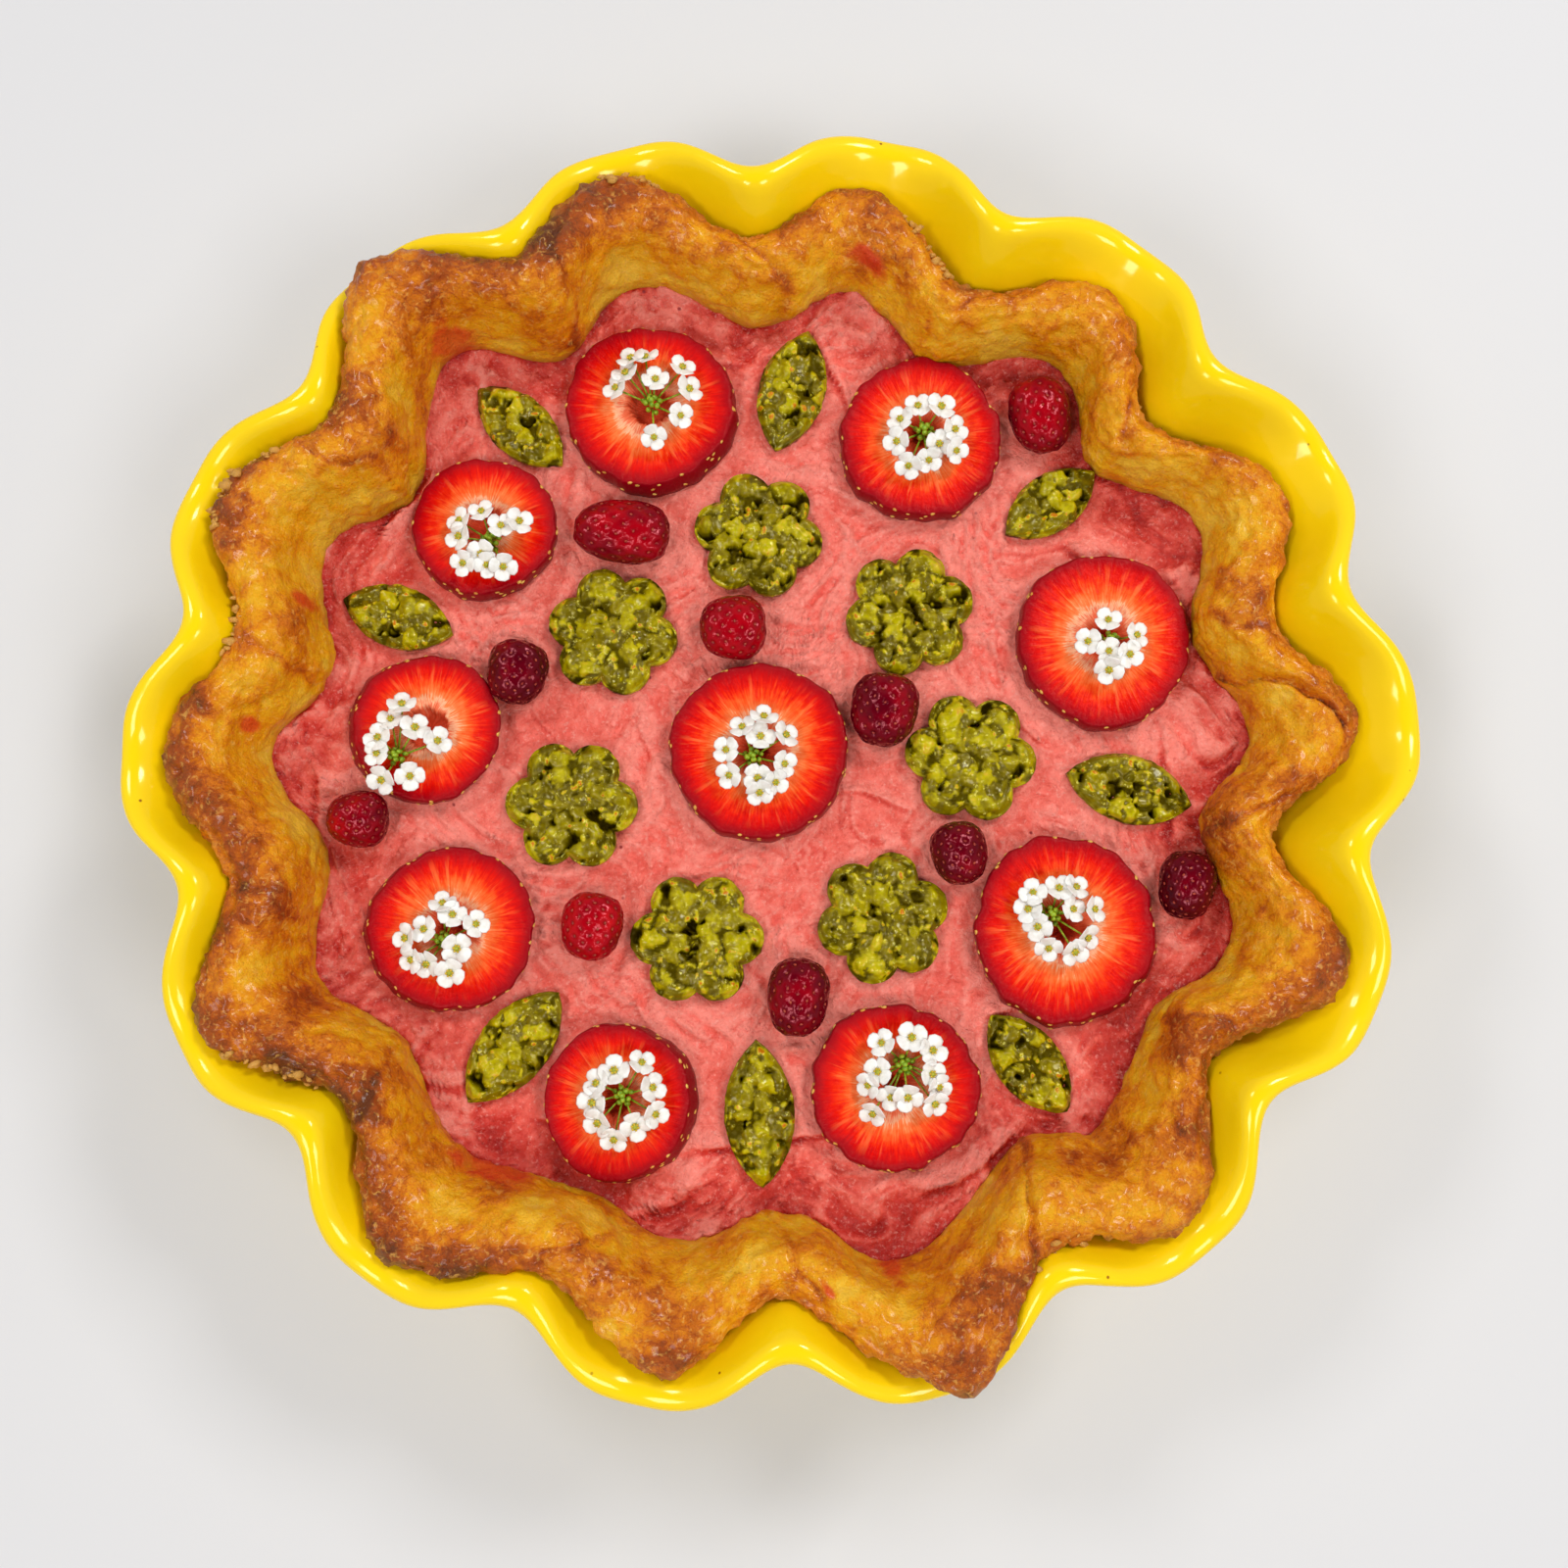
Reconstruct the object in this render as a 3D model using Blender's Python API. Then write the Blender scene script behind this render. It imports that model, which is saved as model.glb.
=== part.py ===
"""Strawberry tart in a ruffled pie dish, as separate closed solids.

The dish stands on the plane z = 0 with its axis on Z. Lengths below are in
millimetres and angles in degrees from +X, and both are converted on use.
"""
import math
import random

import bmesh
import bpy
from mathutils import Matrix, Vector

MM = 0.001
GAP = 0.3

# Ruffle of the dish: lobes round the rim, and how far the rim swings out and down at each
LOBES = 14
FIRST_CREST = 1.8
STEPS_PER_LOBE = 8
SIDES = LOBES * STEPS_PER_LOBE
RUFFLE_OUT = 6.1
RUFFLE_NARROW = 1.2
RUFFLE_DIP = 4.0
RUFFLE_START = 6.0
RIM_HEIGHT = 62.0

# Dish section halfway between crest and trough: radius, height
DISH_OUTSIDE = [(93, 0), (98, 7.5), (115, 41), (123, 53.5), (128.5, 59)]
DISH_LIP = [(131, 62), (128.8, 64.5), (125.6, 64.0)]
DISH_INSIDE = [(118, 56), (110, 43.5), (101.5, 27), (93, 10), (87.5, 5.5)]

# Crust: clear of the dish, thick along wall and floor, and its roll over the rim
CRUST_GAP = 0.6
CRUST_WALL = 5.0
CRUST_FLOOR = 5.2
CRUST_THINNEST = 3.5
LIP_CLEAR = 1.3
LIP_REACH = 2.5
# Outer edge of the roll at each outward lobe and each inward trough: angle, radius, height
CRUST_LOBES = [
    (2, 124, 57), (27, 123, 57), (53, 123.5, 57), (81, 124.5, 58), (106.5, 128, 62),
    (130.5, 132.5, 66.5), (155.5, 127.5, 61.5), (181, 125.5, 60), (207, 129.5, 61.5),
    (234.5, 129.5, 61.5), (261, 128, 61.5), (287, 134, 66.5), (310.5, 128, 61.5), (338, 127, 60)]
CRUST_TROUGHS = [
    (12.5, 110.5, 58), (41, 107.5, 57), (67.5, 108.5, 58), (92, 111.5, 60), (117.5, 116.5, 66),
    (144, 115, 65), (169.5, 114, 63), (194.5, 114.3, 63), (220, 113.5, 62.5), (247, 116.5, 66),
    (271, 112.5, 61), (299.5, 116, 65), (325, 111, 59.5), (350, 105.5, 56)]
# Inner edge of the roll at each pocket: angle, radius, height, and the cream stands just below
CRUST_POCKETS = [
    (2, 103.8, 46), (29, 106.4, 47), (53.5, 107.9, 47), (80, 105.3, 47), (106, 109.4, 48),
    (128.5, 112.7, 50), (155, 107, 48), (181, 108, 47), (207, 107.5, 46), (231.5, 106.2, 46),
    (258, 105, 46), (284, 110, 47), (310.5, 105.3, 46), (337, 106.5, 46)]
CREAM_BELOW_POCKET = 1.5
# Inner edge of the roll at each bulge, which overhangs the cream: angle, radius
CRUST_BULGES = [
    (14.5, 96), (41.5, 96), (68.5, 95.5), (92, 97.5), (117.5, 103), (144.5, 98.5), (169.5, 98.5),
    (192.5, 98), (218.5, 99.5), (248.5, 100.5), (272, 97), (302.5, 98), (325.5, 98.5), (351.5, 94)]
BULGE_HEIGHT = 48.0
CREAM_UNDER_BULGE = 41.9
OVERHANG = 0.7
# Roll over the rim, from its edge inwards: the undercut, the edge, the shoulder, the crown
# at a share of the width and the slope at another
ROLL_RISE = 3.6
UNDERCUT_IN = 2.0
UNDERCUT_DROP = 6.0
EDGE_DROP = 1.2
SHOULDER_IN = 1.8
SHOULDER_UP = 1.6
CROWN_SHARE = 0.4
SLOPE_SHARE = 0.75
SLOPE_DROP = 4.0
# Unevenness of the roll: waves round the circle, share of the height, and share of the phase
CRAG = 0.45
CRAG_WAVES = [(23, 1.0, 1.0), (41, 0.7, 2.3)]
EDGE_PHASE = 0.4
CROWN_PHASE = 1.9
SLOPE_PHASE = 3.1

# Cream filling
CREAM_TOP = 41.0
CREAM_WAVE = 0.45
SWELL_ACROSS = (11, 17)
SWELL_ALONG = (13, 29)
CREAM_RISE_WIDTH = 3.5
CREAM_RINGS = [(84, 56), (58, 28), (30, 14)]
REST = 41.8

# Strawberry slices: centre x, y, width, depth
SLICES = [
    (-27, 77, 39, 38), (33, 70, 37, 38), (-64, 50, 33, 32), (72.8, 25, 39, 40), (-2.5, 0, 40, 40),
    (-76.7, 5.4, 33.5, 33.5), (-69.5, -39, 37, 36), (63.3, -39, 40, 41.5), (-31, -75, 32, 34),
    (26, -72, 37, 36)]
SLICE_THICK = 5.6
SLICE_SIDES = 20
SLICE_LEVELS = [(0.0, 0.97), (0.8, 1.0), (1.0, 0.95)]
SLICE_FULLNESS = 0.975
SLICE_WAVES = [(3, 0.014), (5, 0.01)]
# Whole small berries: centre x, y, length, width, turn of the length
BERRIES = [
    (60, 75.5, 17, 13.5, 100), (-33, 49, 21, 14, -5), (-8.5, 27.2, 14.5, 14, 0),
    (-55.6, 17.2, 14, 13, 80), (24.3, 9, 16, 14.5, 80), (-89, -15, 13, 12, 0),
    (40.5, -22.3, 13.5, 12, 100), (88.9, -29.2, 14.5, 12, 80), (-38.5, -38, 14.5, 13, 80),
    (5.5, -53, 16.5, 13, 85)]
BERRY_HEIGHT = 11.5
BERRY_BLUNTNESS = 0.12
# Nut and glaze cut-outs, six-lobed flowers: centre x, y, turn
FLOWERS = [
    (-3, 49, 12), (30.5, 31.5, 5), (-35, 27, 20), (43.5, -1, 30), (-43.5, -11.5, 0),
    (24, -36, 10), (-16, -40.5, 25)]
FLOWER_RADIUS = 13.4
FLOWER_LOBE = 1.7
FLOWER_THICK = 4.2
# Nut and glaze cut-outs, pointed leaves: centre x, y, length, width, turn of the length
LEAVES = [
    (-56.5, 74, 26, 13.5, -43), (4.5, 82.5, 29, 15, 75), (62.2, 56.4, 24.5, 13, 35),
    (-82.6, 30.3, 25.5, 14, -18), (78, -8, 28, 15, -15), (55, -67, 26, 14, -52),
    (-55, -63.5, 30, 15, 51), (-2.5, -77.5, 31, 15, -87)]
LEAF_THICK = 3.8
LEAF_STEPS = 8
CUTOUT_LEVELS = [(0.0, 1.0), (0.65, 1.0), (0.95, 0.88)]
CROWN_SIZE = 0.5
# White flower sprigs on the slices: centre x, y, spread
SPRIGS = [
    (-27, 79.5, 19), (34, 71, 17), (-63.5, 48, 17), (74, 24, 15), (-3, 0, 19),
    (-79, 2, 18), (-70, -39.5, 18), (62.5, -37, 18), (-31, -75, 18), (28, -70, 19)]
SPRIG_CORE_HEIGHT = 3.0
SPRIG_LEVELS = [(0.0, 0.8), (0.55, 1.0), (1.0, 0.6)]
FLORETS_PER_SPRIG = 5
FLORET_RADIUS = 2.6
FLORET_NOTCH = 0.35
FLORET_THICK = 1.2

COLOURS = {
    "yellow_glaze": ((0.85, 0.55, 0.01), 0.12),
    "baked_crust": ((0.55, 0.25, 0.05), 0.4),
    "berry_cream": ((0.75, 0.12, 0.12), 0.5),
    "strawberry": ((0.75, 0.04, 0.02), 0.25),
    "small_berry": ((0.28, 0.01, 0.02), 0.25),
    "nut_glaze": ((0.25, 0.22, 0.02), 0.3),
    "white_petal": ((0.85, 0.85, 0.78), 0.6),
}


def clear_scene():
    """Removes the objects that the scene opens with."""
    for obj in list(bpy.data.objects):
        bpy.data.objects.remove(obj, do_unlink=True)


def material(name):
    """The material of one finish."""
    found = bpy.data.materials.get(name)
    if found:
        return found
    colour, roughness = COLOURS[name]
    made = bpy.data.materials.new(name)
    made.use_nodes = True
    shader = made.node_tree.nodes["Principled BSDF"]
    shader.inputs["Base Color"].default_value = (*colour, 1)
    shader.inputs["Roughness"].default_value = roughness
    shader.inputs["Metallic"].default_value = 0.0
    return made


def add_object(name, bm, finish, sharp_angle=50):
    """Turns a bmesh in millimetres into a named object in metres."""
    bmesh.ops.recalc_face_normals(bm, faces=bm.faces)
    if bm.calc_volume(signed=True) < 0:
        bmesh.ops.reverse_faces(bm, faces=bm.faces)
    bmesh.ops.scale(bm, vec=(MM, MM, MM), verts=bm.verts)
    mesh = bpy.data.meshes.new(name)
    bm.to_mesh(mesh)
    bm.free()
    mesh.shade_smooth()
    mesh.set_sharp_from_angle(angle=math.radians(sharp_angle))
    mesh.materials.append(material(finish))
    obj = bpy.data.objects.new(name, mesh)
    bpy.context.scene.collection.objects.link(obj)
    return obj


def ring_edges(ring):
    """The edges that join a closed ring of vertices in order."""
    edges = []
    for vert, after in zip(ring, ring[1:] + ring[:1]):
        edges.append(next(e for e in vert.link_edges if e.other_vert(vert) == after))
    return edges


def new_ring(bm, points):
    """A closed ring of vertices at the given points."""
    ring = bmesh.ops.create_circle(bm, segments=len(points), radius=1.0)["verts"]
    for vert, point in zip(ring, points):
        vert.co = point
    return ring


def extrude_ring(bm, ring, points):
    """Extrudes a ring of vertices to the given points, in the same order."""
    made = bmesh.ops.extrude_edge_only(bm, edges=ring_edges(ring))["geom"]
    fresh = {item for item in made if isinstance(item, bmesh.types.BMVert)}
    moved = []
    for vert, point in zip(ring, points):
        twin = next(e.other_vert(vert) for e in vert.link_edges if e.other_vert(vert) in fresh)
        twin.co = point
        moved.append(twin)
    return moved


def split_band(ring, above):
    """Splits the quads between two rings so that walls that face each other split alike."""
    count = len(ring)
    for index in range(count):
        after = (index + 1) % count
        if above[index].co.z >= ring[index].co.z:
            low, high = ring[index], above[after]
        else:
            low, high = above[index], ring[after]
        quad = next(face for face in low.link_faces if high in face.verts)
        bmesh.utils.face_split(quad, low, high)


def loft(bm, rings, cap_last=True):
    """Skins closed rings of equal count, caps the first, and caps the last on request."""
    ring = new_ring(bm, rings[0])
    bm.faces.new(ring)
    for points in rings[1:]:
        above = extrude_ring(bm, ring, points)
        split_band(ring, above)
        ring = above
    if cap_last:
        bm.faces.new(ring)
    return ring


def polar(radius, angle, height):
    """A point from its radius, angle in degrees and height."""
    turn = math.radians(angle)
    return Vector((radius * math.cos(turn), radius * math.sin(turn), height))


def smooth(value):
    """Eases a value between 0 and 1."""
    value = min(max(value, 0.0), 1.0)
    return value * value * (3 - 2 * value)


def between(rows, angle, column):
    """A column of angle rows, eased from one row to the next round the circle."""
    rows = sorted(rows)
    closed = [(rows[-1][0] - 360, *rows[-1][1:]), *rows, (rows[0][0] + 360, *rows[0][1:])]
    for low, high in zip(closed, closed[1:]):
        if low[0] <= angle <= high[0]:
            share = smooth((angle - low[0]) / (high[0] - low[0]))
            return low[column] + (high[column] - low[column]) * share
    return between(rows, angle - 360, column)


def ruffle(angle):
    """How far the rim swings out, and up, at an angle."""
    turn = math.radians(LOBES * (angle - FIRST_CREST))
    out = RUFFLE_OUT * math.cos(turn) - RUFFLE_NARROW * math.cos(2 * turn)
    return out, -RUFFLE_DIP * math.cos(turn)


def dish_point(row, angle):
    """Radius and height of a row of the dish's section at an angle."""
    radius, height = row
    share = max(height - RUFFLE_START, 0) / (RIM_HEIGHT - RUFFLE_START)
    share = min(share, 1.0) ** 2
    out, up = ruffle(angle)
    return radius + out * share, height + up * share


def dish_inner_radius(angle, height):
    """Radius of the dish's inner wall at an angle and height, up to the lip."""
    wall = [dish_point(row, angle) for row in [*DISH_INSIDE[::-1], DISH_LIP[2]]]
    height = min(max(height, wall[0][1]), wall[-1][1])
    for (r0, z0), (r1, z1) in zip(wall, wall[1:]):
        if height <= z1:
            return r0 + (r1 - r0) * (height - z0) / (z1 - z0)


def crag(angle, phase):
    """Small uneven wave of the pastry, in millimetres."""
    turn = math.radians(angle)
    wave = 0.0
    for waves, share, phase_share in CRAG_WAVES:
        wave += share * math.sin(waves * turn + phase_share * phase)
    return CRAG * wave


def keep_clear(angle, radius, height):
    """Pulls a point of the crust in until it clears the dish's wall and lip."""
    lip_height = dish_point(DISH_LIP[2], angle)[1] + LIP_CLEAR
    wall = dish_inner_radius(angle, height - CRUST_GAP) - CRUST_GAP
    over_lip = max(height - lip_height, 0) * LIP_REACH
    return min(radius, wall + over_lip)


def crust_inner_edge(angle):
    """Radius and height of the roll's inner edge, and the height of the cream there."""
    pockets = [(a, r, z, z - CREAM_BELOW_POCKET) for a, r, z in CRUST_POCKETS]
    bulges = [(a, r, BULGE_HEIGHT, CREAM_UNDER_BULGE) for a, r in CRUST_BULGES]
    radius, height, cream = (between(pockets + bulges, angle, column) for column in (1, 2, 3))
    wall = dish_inner_radius(angle, cream)
    return min(radius, wall - CRUST_GAP - CRUST_THINNEST), height, cream


def lining_radius(angle):
    """Radius of the crust's inner face halfway down."""
    row = DISH_INSIDE[2]
    return dish_point(row, angle)[0] - CRUST_GAP - CRUST_WALL, row[1]


def crust_section(angle):
    """The crust's section at an angle, from the outer floor corner over the roll."""
    outside = [dish_point(row, angle) for row in DISH_INSIDE[::-1]]
    points = [(outside[0][0] - CRUST_GAP, outside[0][1] + GAP)]
    for radius, height in outside[1:4]:
        points.append((radius - CRUST_GAP, height + GAP))
    edge_rows = CRUST_LOBES + CRUST_TROUGHS
    edge_r = between(edge_rows, angle, 1) + crag(angle, EDGE_PHASE)
    edge_z = between(edge_rows, angle, 2)
    inner_r, inner_z, cream_z = crust_inner_edge(angle)
    width = edge_r - inner_r
    crown = edge_z + ROLL_RISE + crag(angle, CROWN_PHASE)
    slope = crown - SLOPE_DROP + crag(angle, SLOPE_PHASE)
    wall_bend = dish_point(DISH_INSIDE[0], angle)[1]
    upper = [
        (edge_r - UNDERCUT_IN, min(edge_z - UNDERCUT_DROP, wall_bend + GAP)),
        (edge_r, edge_z - EDGE_DROP),
        (edge_r - SHOULDER_IN, edge_z + SHOULDER_UP),
        (edge_r - CROWN_SHARE * width, crown),
        (edge_r - SLOPE_SHARE * width, slope)]
    points += [(keep_clear(angle, r, z), z) for r, z in upper]
    points += [(inner_r, inner_z), (inner_r + OVERHANG, cream_z)]
    points.append(lining_radius(angle))
    points.append((outside[0][0] - CRUST_WALL, outside[0][1] + GAP + CRUST_FLOOR))
    return points


def rings_of(section):
    """Rings of a turned shape whose section depends on the angle."""
    columns = []
    for step in range(SIDES):
        angle = FIRST_CREST + 360 * step / SIDES
        columns.append([polar(r, angle, z) for r, z in section(angle)])
    return [list(ring) for ring in zip(*columns)]


def make_dish():
    """The ruffled stoneware dish."""
    rows = DISH_OUTSIDE + DISH_LIP + DISH_INSIDE
    bm = bmesh.new()
    loft(bm, rings_of(lambda angle: [dish_point(row, angle) for row in rows]))
    add_object("dish", bm, "yellow_glaze")


def make_crust():
    """The pastry shell with its ruffled roll."""
    bm = bmesh.new()
    loft(bm, rings_of(crust_section))
    add_object("crust", bm, "baked_crust")


def cream_height(x, y):
    """Height of the spread cream, with the low waves of the palette knife."""
    across = math.sin(x / SWELL_ACROSS[0] + y / SWELL_ACROSS[1])
    along = math.cos(y / SWELL_ALONG[0] - x / SWELL_ALONG[1])
    return CREAM_TOP + CREAM_WAVE * across * along


def cream_section(angle):
    """Side of the filling: floor corner, halfway, cream line and the foot of its rise."""
    inner_r, _, cream_z = crust_inner_edge(angle)
    floor_r, floor_z = crust_section(angle)[-1]
    wall_r, wall_z = lining_radius(angle)
    return [
        (floor_r - CRUST_GAP, floor_z + GAP),
        (wall_r - CRUST_GAP, wall_z),
        (inner_r + OVERHANG - CRUST_GAP, cream_z - GAP),
        (inner_r - CREAM_RISE_WIDTH, CREAM_TOP + GAP)]


def make_filling():
    """The cream filling inside the crust."""
    bm = bmesh.new()
    ring = loft(bm, rings_of(cream_section), cap_last=False)
    for radius, count in CREAM_RINGS:
        points = []
        for step in range(count):
            point = polar(radius, FIRST_CREST + 360 * step / count, 0)
            point.z = cream_height(point.x, point.y)
            points.append(point)
        inner = new_ring(bm, points)
        bmesh.ops.bridge_loops(bm, edges=ring_edges(ring) + ring_edges(inner))
        ring = inner
    top = bm.faces.new(ring)
    middle = bmesh.ops.poke(bm, faces=[top])["verts"][0]
    middle.co.z = cream_height(middle.co.x, middle.co.y)
    add_object("filling", bm, "berry_cream")


def outline(count, radius_at):
    """Closed outline in the XY plane from a radius rule."""
    points = []
    for step in range(count):
        turn = math.tau * step / count
        radius = radius_at(turn)
        points.append(Vector((radius * math.cos(turn), radius * math.sin(turn), 0)))
    return points


def placed(points, x, y, z, scale=1.0, turn=0.0):
    """Outline points scaled, turned and moved into place."""
    matrix = Matrix.Translation((x, y, z)) @ Matrix.Rotation(math.radians(turn), 4, "Z")
    return [matrix @ (point * scale) for point in points]


def make_slice(index, x, y, width, depth):
    """A cross slice of a strawberry with a wavy outline and a tapered flank."""
    draw = random.Random(100 + index)
    waves = [(count, depth, draw.uniform(0, math.tau)) for count, depth in SLICE_WAVES]

    def radius_at(turn):
        half_x, half_y = width / 2, depth / 2
        round_part = half_x * half_y / math.hypot(half_y * math.cos(turn), half_x * math.sin(turn))
        wave = sum(depth * math.sin(count * turn + phase) for count, depth, phase in waves)
        return round_part * (SLICE_FULLNESS + wave)

    shape = outline(SLICE_SIDES, radius_at)
    rings = [placed(shape, x, y, REST + SLICE_THICK * up, scale) for up, scale in SLICE_LEVELS]
    bm = bmesh.new()
    loft(bm, rings)
    add_object(f"strawberry_slice_{index + 1:02d}", bm, "strawberry")


def make_berry(index, x, y, length, width, turn):
    """A small whole berry lying on its side, blunt at one end."""
    bm = bmesh.new()
    bmesh.ops.create_uvsphere(bm, u_segments=10, v_segments=7, radius=1.0)
    bmesh.ops.rotate(bm, verts=bm.verts, matrix=Matrix.Rotation(math.radians(90), 3, "Y"))
    for vert in bm.verts:
        blunt = 1 + BERRY_BLUNTNESS * vert.co.x
        vert.co = (vert.co.x * length / 2, vert.co.y * blunt * width / 2, vert.co.z * blunt)
    bmesh.ops.scale(bm, vec=(1, 1, BERRY_HEIGHT / 2), verts=bm.verts)
    bmesh.ops.rotate(bm, verts=bm.verts, matrix=Matrix.Rotation(math.radians(turn), 3, "Z"))
    lowest = min(vert.co.z for vert in bm.verts)
    bmesh.ops.translate(bm, verts=bm.verts, vec=(x, y, REST - lowest))
    add_object(f"small_berry_{index + 1:02d}", bm, "small_berry", 80)


def make_cutout(name, seed, shape, thick, x, y, turn):
    """A nut and glaze cut-out: an upright edge, a soft shoulder and a nubbly top."""
    draw = random.Random(seed)
    bm = bmesh.new()
    rings = [placed(shape, x, y, REST + thick * up, scale, turn) for up, scale in CUTOUT_LEVELS]
    ring = loft(bm, rings, cap_last=False)
    crown = placed(shape[::2], x, y, REST + thick, CROWN_SIZE, turn)
    for point in crown:
        point.z += draw.uniform(-0.5, 0.7)
    inner = new_ring(bm, crown)
    bmesh.ops.bridge_loops(bm, edges=ring_edges(ring) + ring_edges(inner))
    top = bm.faces.new(inner)
    middle = bmesh.ops.poke(bm, faces=[top])["verts"][0]
    middle.co.z = REST + thick + draw.uniform(-0.3, 0.6)
    add_object(name, bm, "nut_glaze")


def flower_outline():
    """Six-lobed flower outline."""
    return outline(24, lambda turn: FLOWER_RADIUS + FLOWER_LOBE * math.cos(6 * turn))


def leaf_outline(length, width):
    """Pointed leaf outline, as two arcs that meet at its tips."""
    half_l, half_w = length / 2, width / 2
    arc_radius = (half_l ** 2 + half_w ** 2) / (2 * half_w)
    reach = math.asin(half_l / arc_radius)
    side = []
    for step in range(LEAF_STEPS):
        angle = reach * (2 * step / LEAF_STEPS - 1)
        side.append(Vector((arc_radius * math.sin(angle),
                            arc_radius * math.cos(angle) - arc_radius + half_w, 0)))
    return side + [-point for point in side]


def make_floret(draw, centre, tilt, heading):
    """One small four-petalled flower, tilted away from the middle of its sprig."""
    bm = bmesh.new()
    rim = outline(8, lambda turn: FLORET_RADIUS)
    petals = [point * (1 if step % 2 else 1 - FLORET_NOTCH) for step, point in enumerate(rim)]
    ring = new_ring(bm, petals)
    for up in (1, -1):
        face = bm.faces.new(ring if up > 0 else ring[::-1])
        middle = bmesh.ops.poke(bm, faces=[face])["verts"][0]
        middle.co.z = up * FLORET_THICK / 2
    spin = Matrix.Rotation(draw.uniform(0, math.tau), 4, "Z")
    lean = Matrix.Rotation(math.radians(heading), 4, "Z") @ Matrix.Rotation(math.radians(tilt), 4, "Y")
    bmesh.ops.transform(bm, matrix=Matrix.Translation(centre) @ lean @ spin, verts=bm.verts)
    return bm


def join_to(core, helpers):
    """Fuses helper objects into the core with one Boolean union, and removes them."""
    group = bpy.data.collections.new(core.name + "_parts")
    bpy.context.scene.collection.children.link(group)
    for helper in helpers:
        bpy.context.scene.collection.objects.unlink(helper)
        group.objects.link(helper)
    union = core.modifiers.new("union", "BOOLEAN")
    union.operation = "UNION"
    union.operand_type = "COLLECTION"
    union.collection = group
    union.solver = "EXACT"
    graph = bpy.context.evaluated_depsgraph_get()
    fused = bpy.data.meshes.new_from_object(core.evaluated_get(graph))
    core.modifiers.clear()
    core.data = fused
    for helper in helpers:
        bpy.data.objects.remove(helper, do_unlink=True)
    bpy.data.collections.remove(group)


def make_sprig(index, x, y, spread):
    """A sprig of tiny white flowers: a low core with its florets fused on."""
    draw = random.Random(300 + index)
    base = REST + SLICE_THICK + GAP
    core_radius = spread / 2 - FLORET_RADIUS
    disc = outline(8, lambda turn: core_radius)
    bm = bmesh.new()
    loft(bm, [placed(disc, x, y, base + SPRIG_CORE_HEIGHT * up, scale)
              for up, scale in SPRIG_LEVELS])
    core = add_object(f"flower_sprig_{index + 1:02d}", bm, "white_petal")
    helpers = []
    start = draw.uniform(0, 360)
    for step in range(FLORETS_PER_SPRIG):
        heading = start + 360 * step / FLORETS_PER_SPRIG + draw.uniform(-9, 9)
        middle = polar(core_radius * draw.uniform(0.8, 0.9), heading, 0)
        centre = middle + Vector((x, y, base + SPRIG_CORE_HEIGHT * 0.55))
        floret = make_floret(draw, centre, draw.uniform(10, 28), heading)
        helpers.append(add_object(f"floret_{step}", floret, "white_petal"))
    join_to(core, helpers)


def build():
    """Makes every piece of the tart."""
    clear_scene()
    make_dish()
    make_crust()
    make_filling()
    for index, row in enumerate(SLICES):
        make_slice(index, *row)
    for index, row in enumerate(BERRIES):
        make_berry(index, *row)
    for index, (x, y, turn) in enumerate(FLOWERS):
        name = f"nut_flower_{index + 1:02d}"
        make_cutout(name, 500 + index, flower_outline(), FLOWER_THICK, x, y, turn)
    for index, (x, y, length, width, turn) in enumerate(LEAVES):
        name = f"nut_leaf_{index + 1:02d}"
        shape = leaf_outline(length, width)
        make_cutout(name, 600 + index, shape, LEAF_THICK, x, y, turn)
    for index, row in enumerate(SPRIGS):
        make_sprig(index, *row)


build()
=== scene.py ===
"""Looks of a strawberry tart: glazed dish, baked crust, spread cream and its toppings.

Lengths are in millimetres and angles in degrees from +X. Every piece is turned
into metres when its mesh is made, and keeps its object at the origin.
"""
import itertools
import math
import random

import bmesh
import bpy
import numpy as np
from mathutils import Matrix, Vector
from mathutils.bvhtree import BVHTree


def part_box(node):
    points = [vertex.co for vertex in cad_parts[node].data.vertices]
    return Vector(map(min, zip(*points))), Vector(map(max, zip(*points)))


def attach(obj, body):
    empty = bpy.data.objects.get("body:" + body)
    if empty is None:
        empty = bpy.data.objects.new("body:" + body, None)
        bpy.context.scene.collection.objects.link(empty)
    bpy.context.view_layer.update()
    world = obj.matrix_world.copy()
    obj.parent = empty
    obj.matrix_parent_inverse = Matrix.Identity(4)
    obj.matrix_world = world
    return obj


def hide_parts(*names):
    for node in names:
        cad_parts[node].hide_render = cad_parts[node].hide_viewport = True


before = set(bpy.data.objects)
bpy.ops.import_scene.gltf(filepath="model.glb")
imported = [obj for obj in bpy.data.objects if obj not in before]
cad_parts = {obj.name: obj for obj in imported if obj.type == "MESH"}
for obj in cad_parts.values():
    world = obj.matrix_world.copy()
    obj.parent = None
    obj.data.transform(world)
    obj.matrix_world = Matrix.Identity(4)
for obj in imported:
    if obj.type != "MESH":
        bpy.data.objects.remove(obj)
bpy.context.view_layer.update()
MM = 0.001

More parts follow.
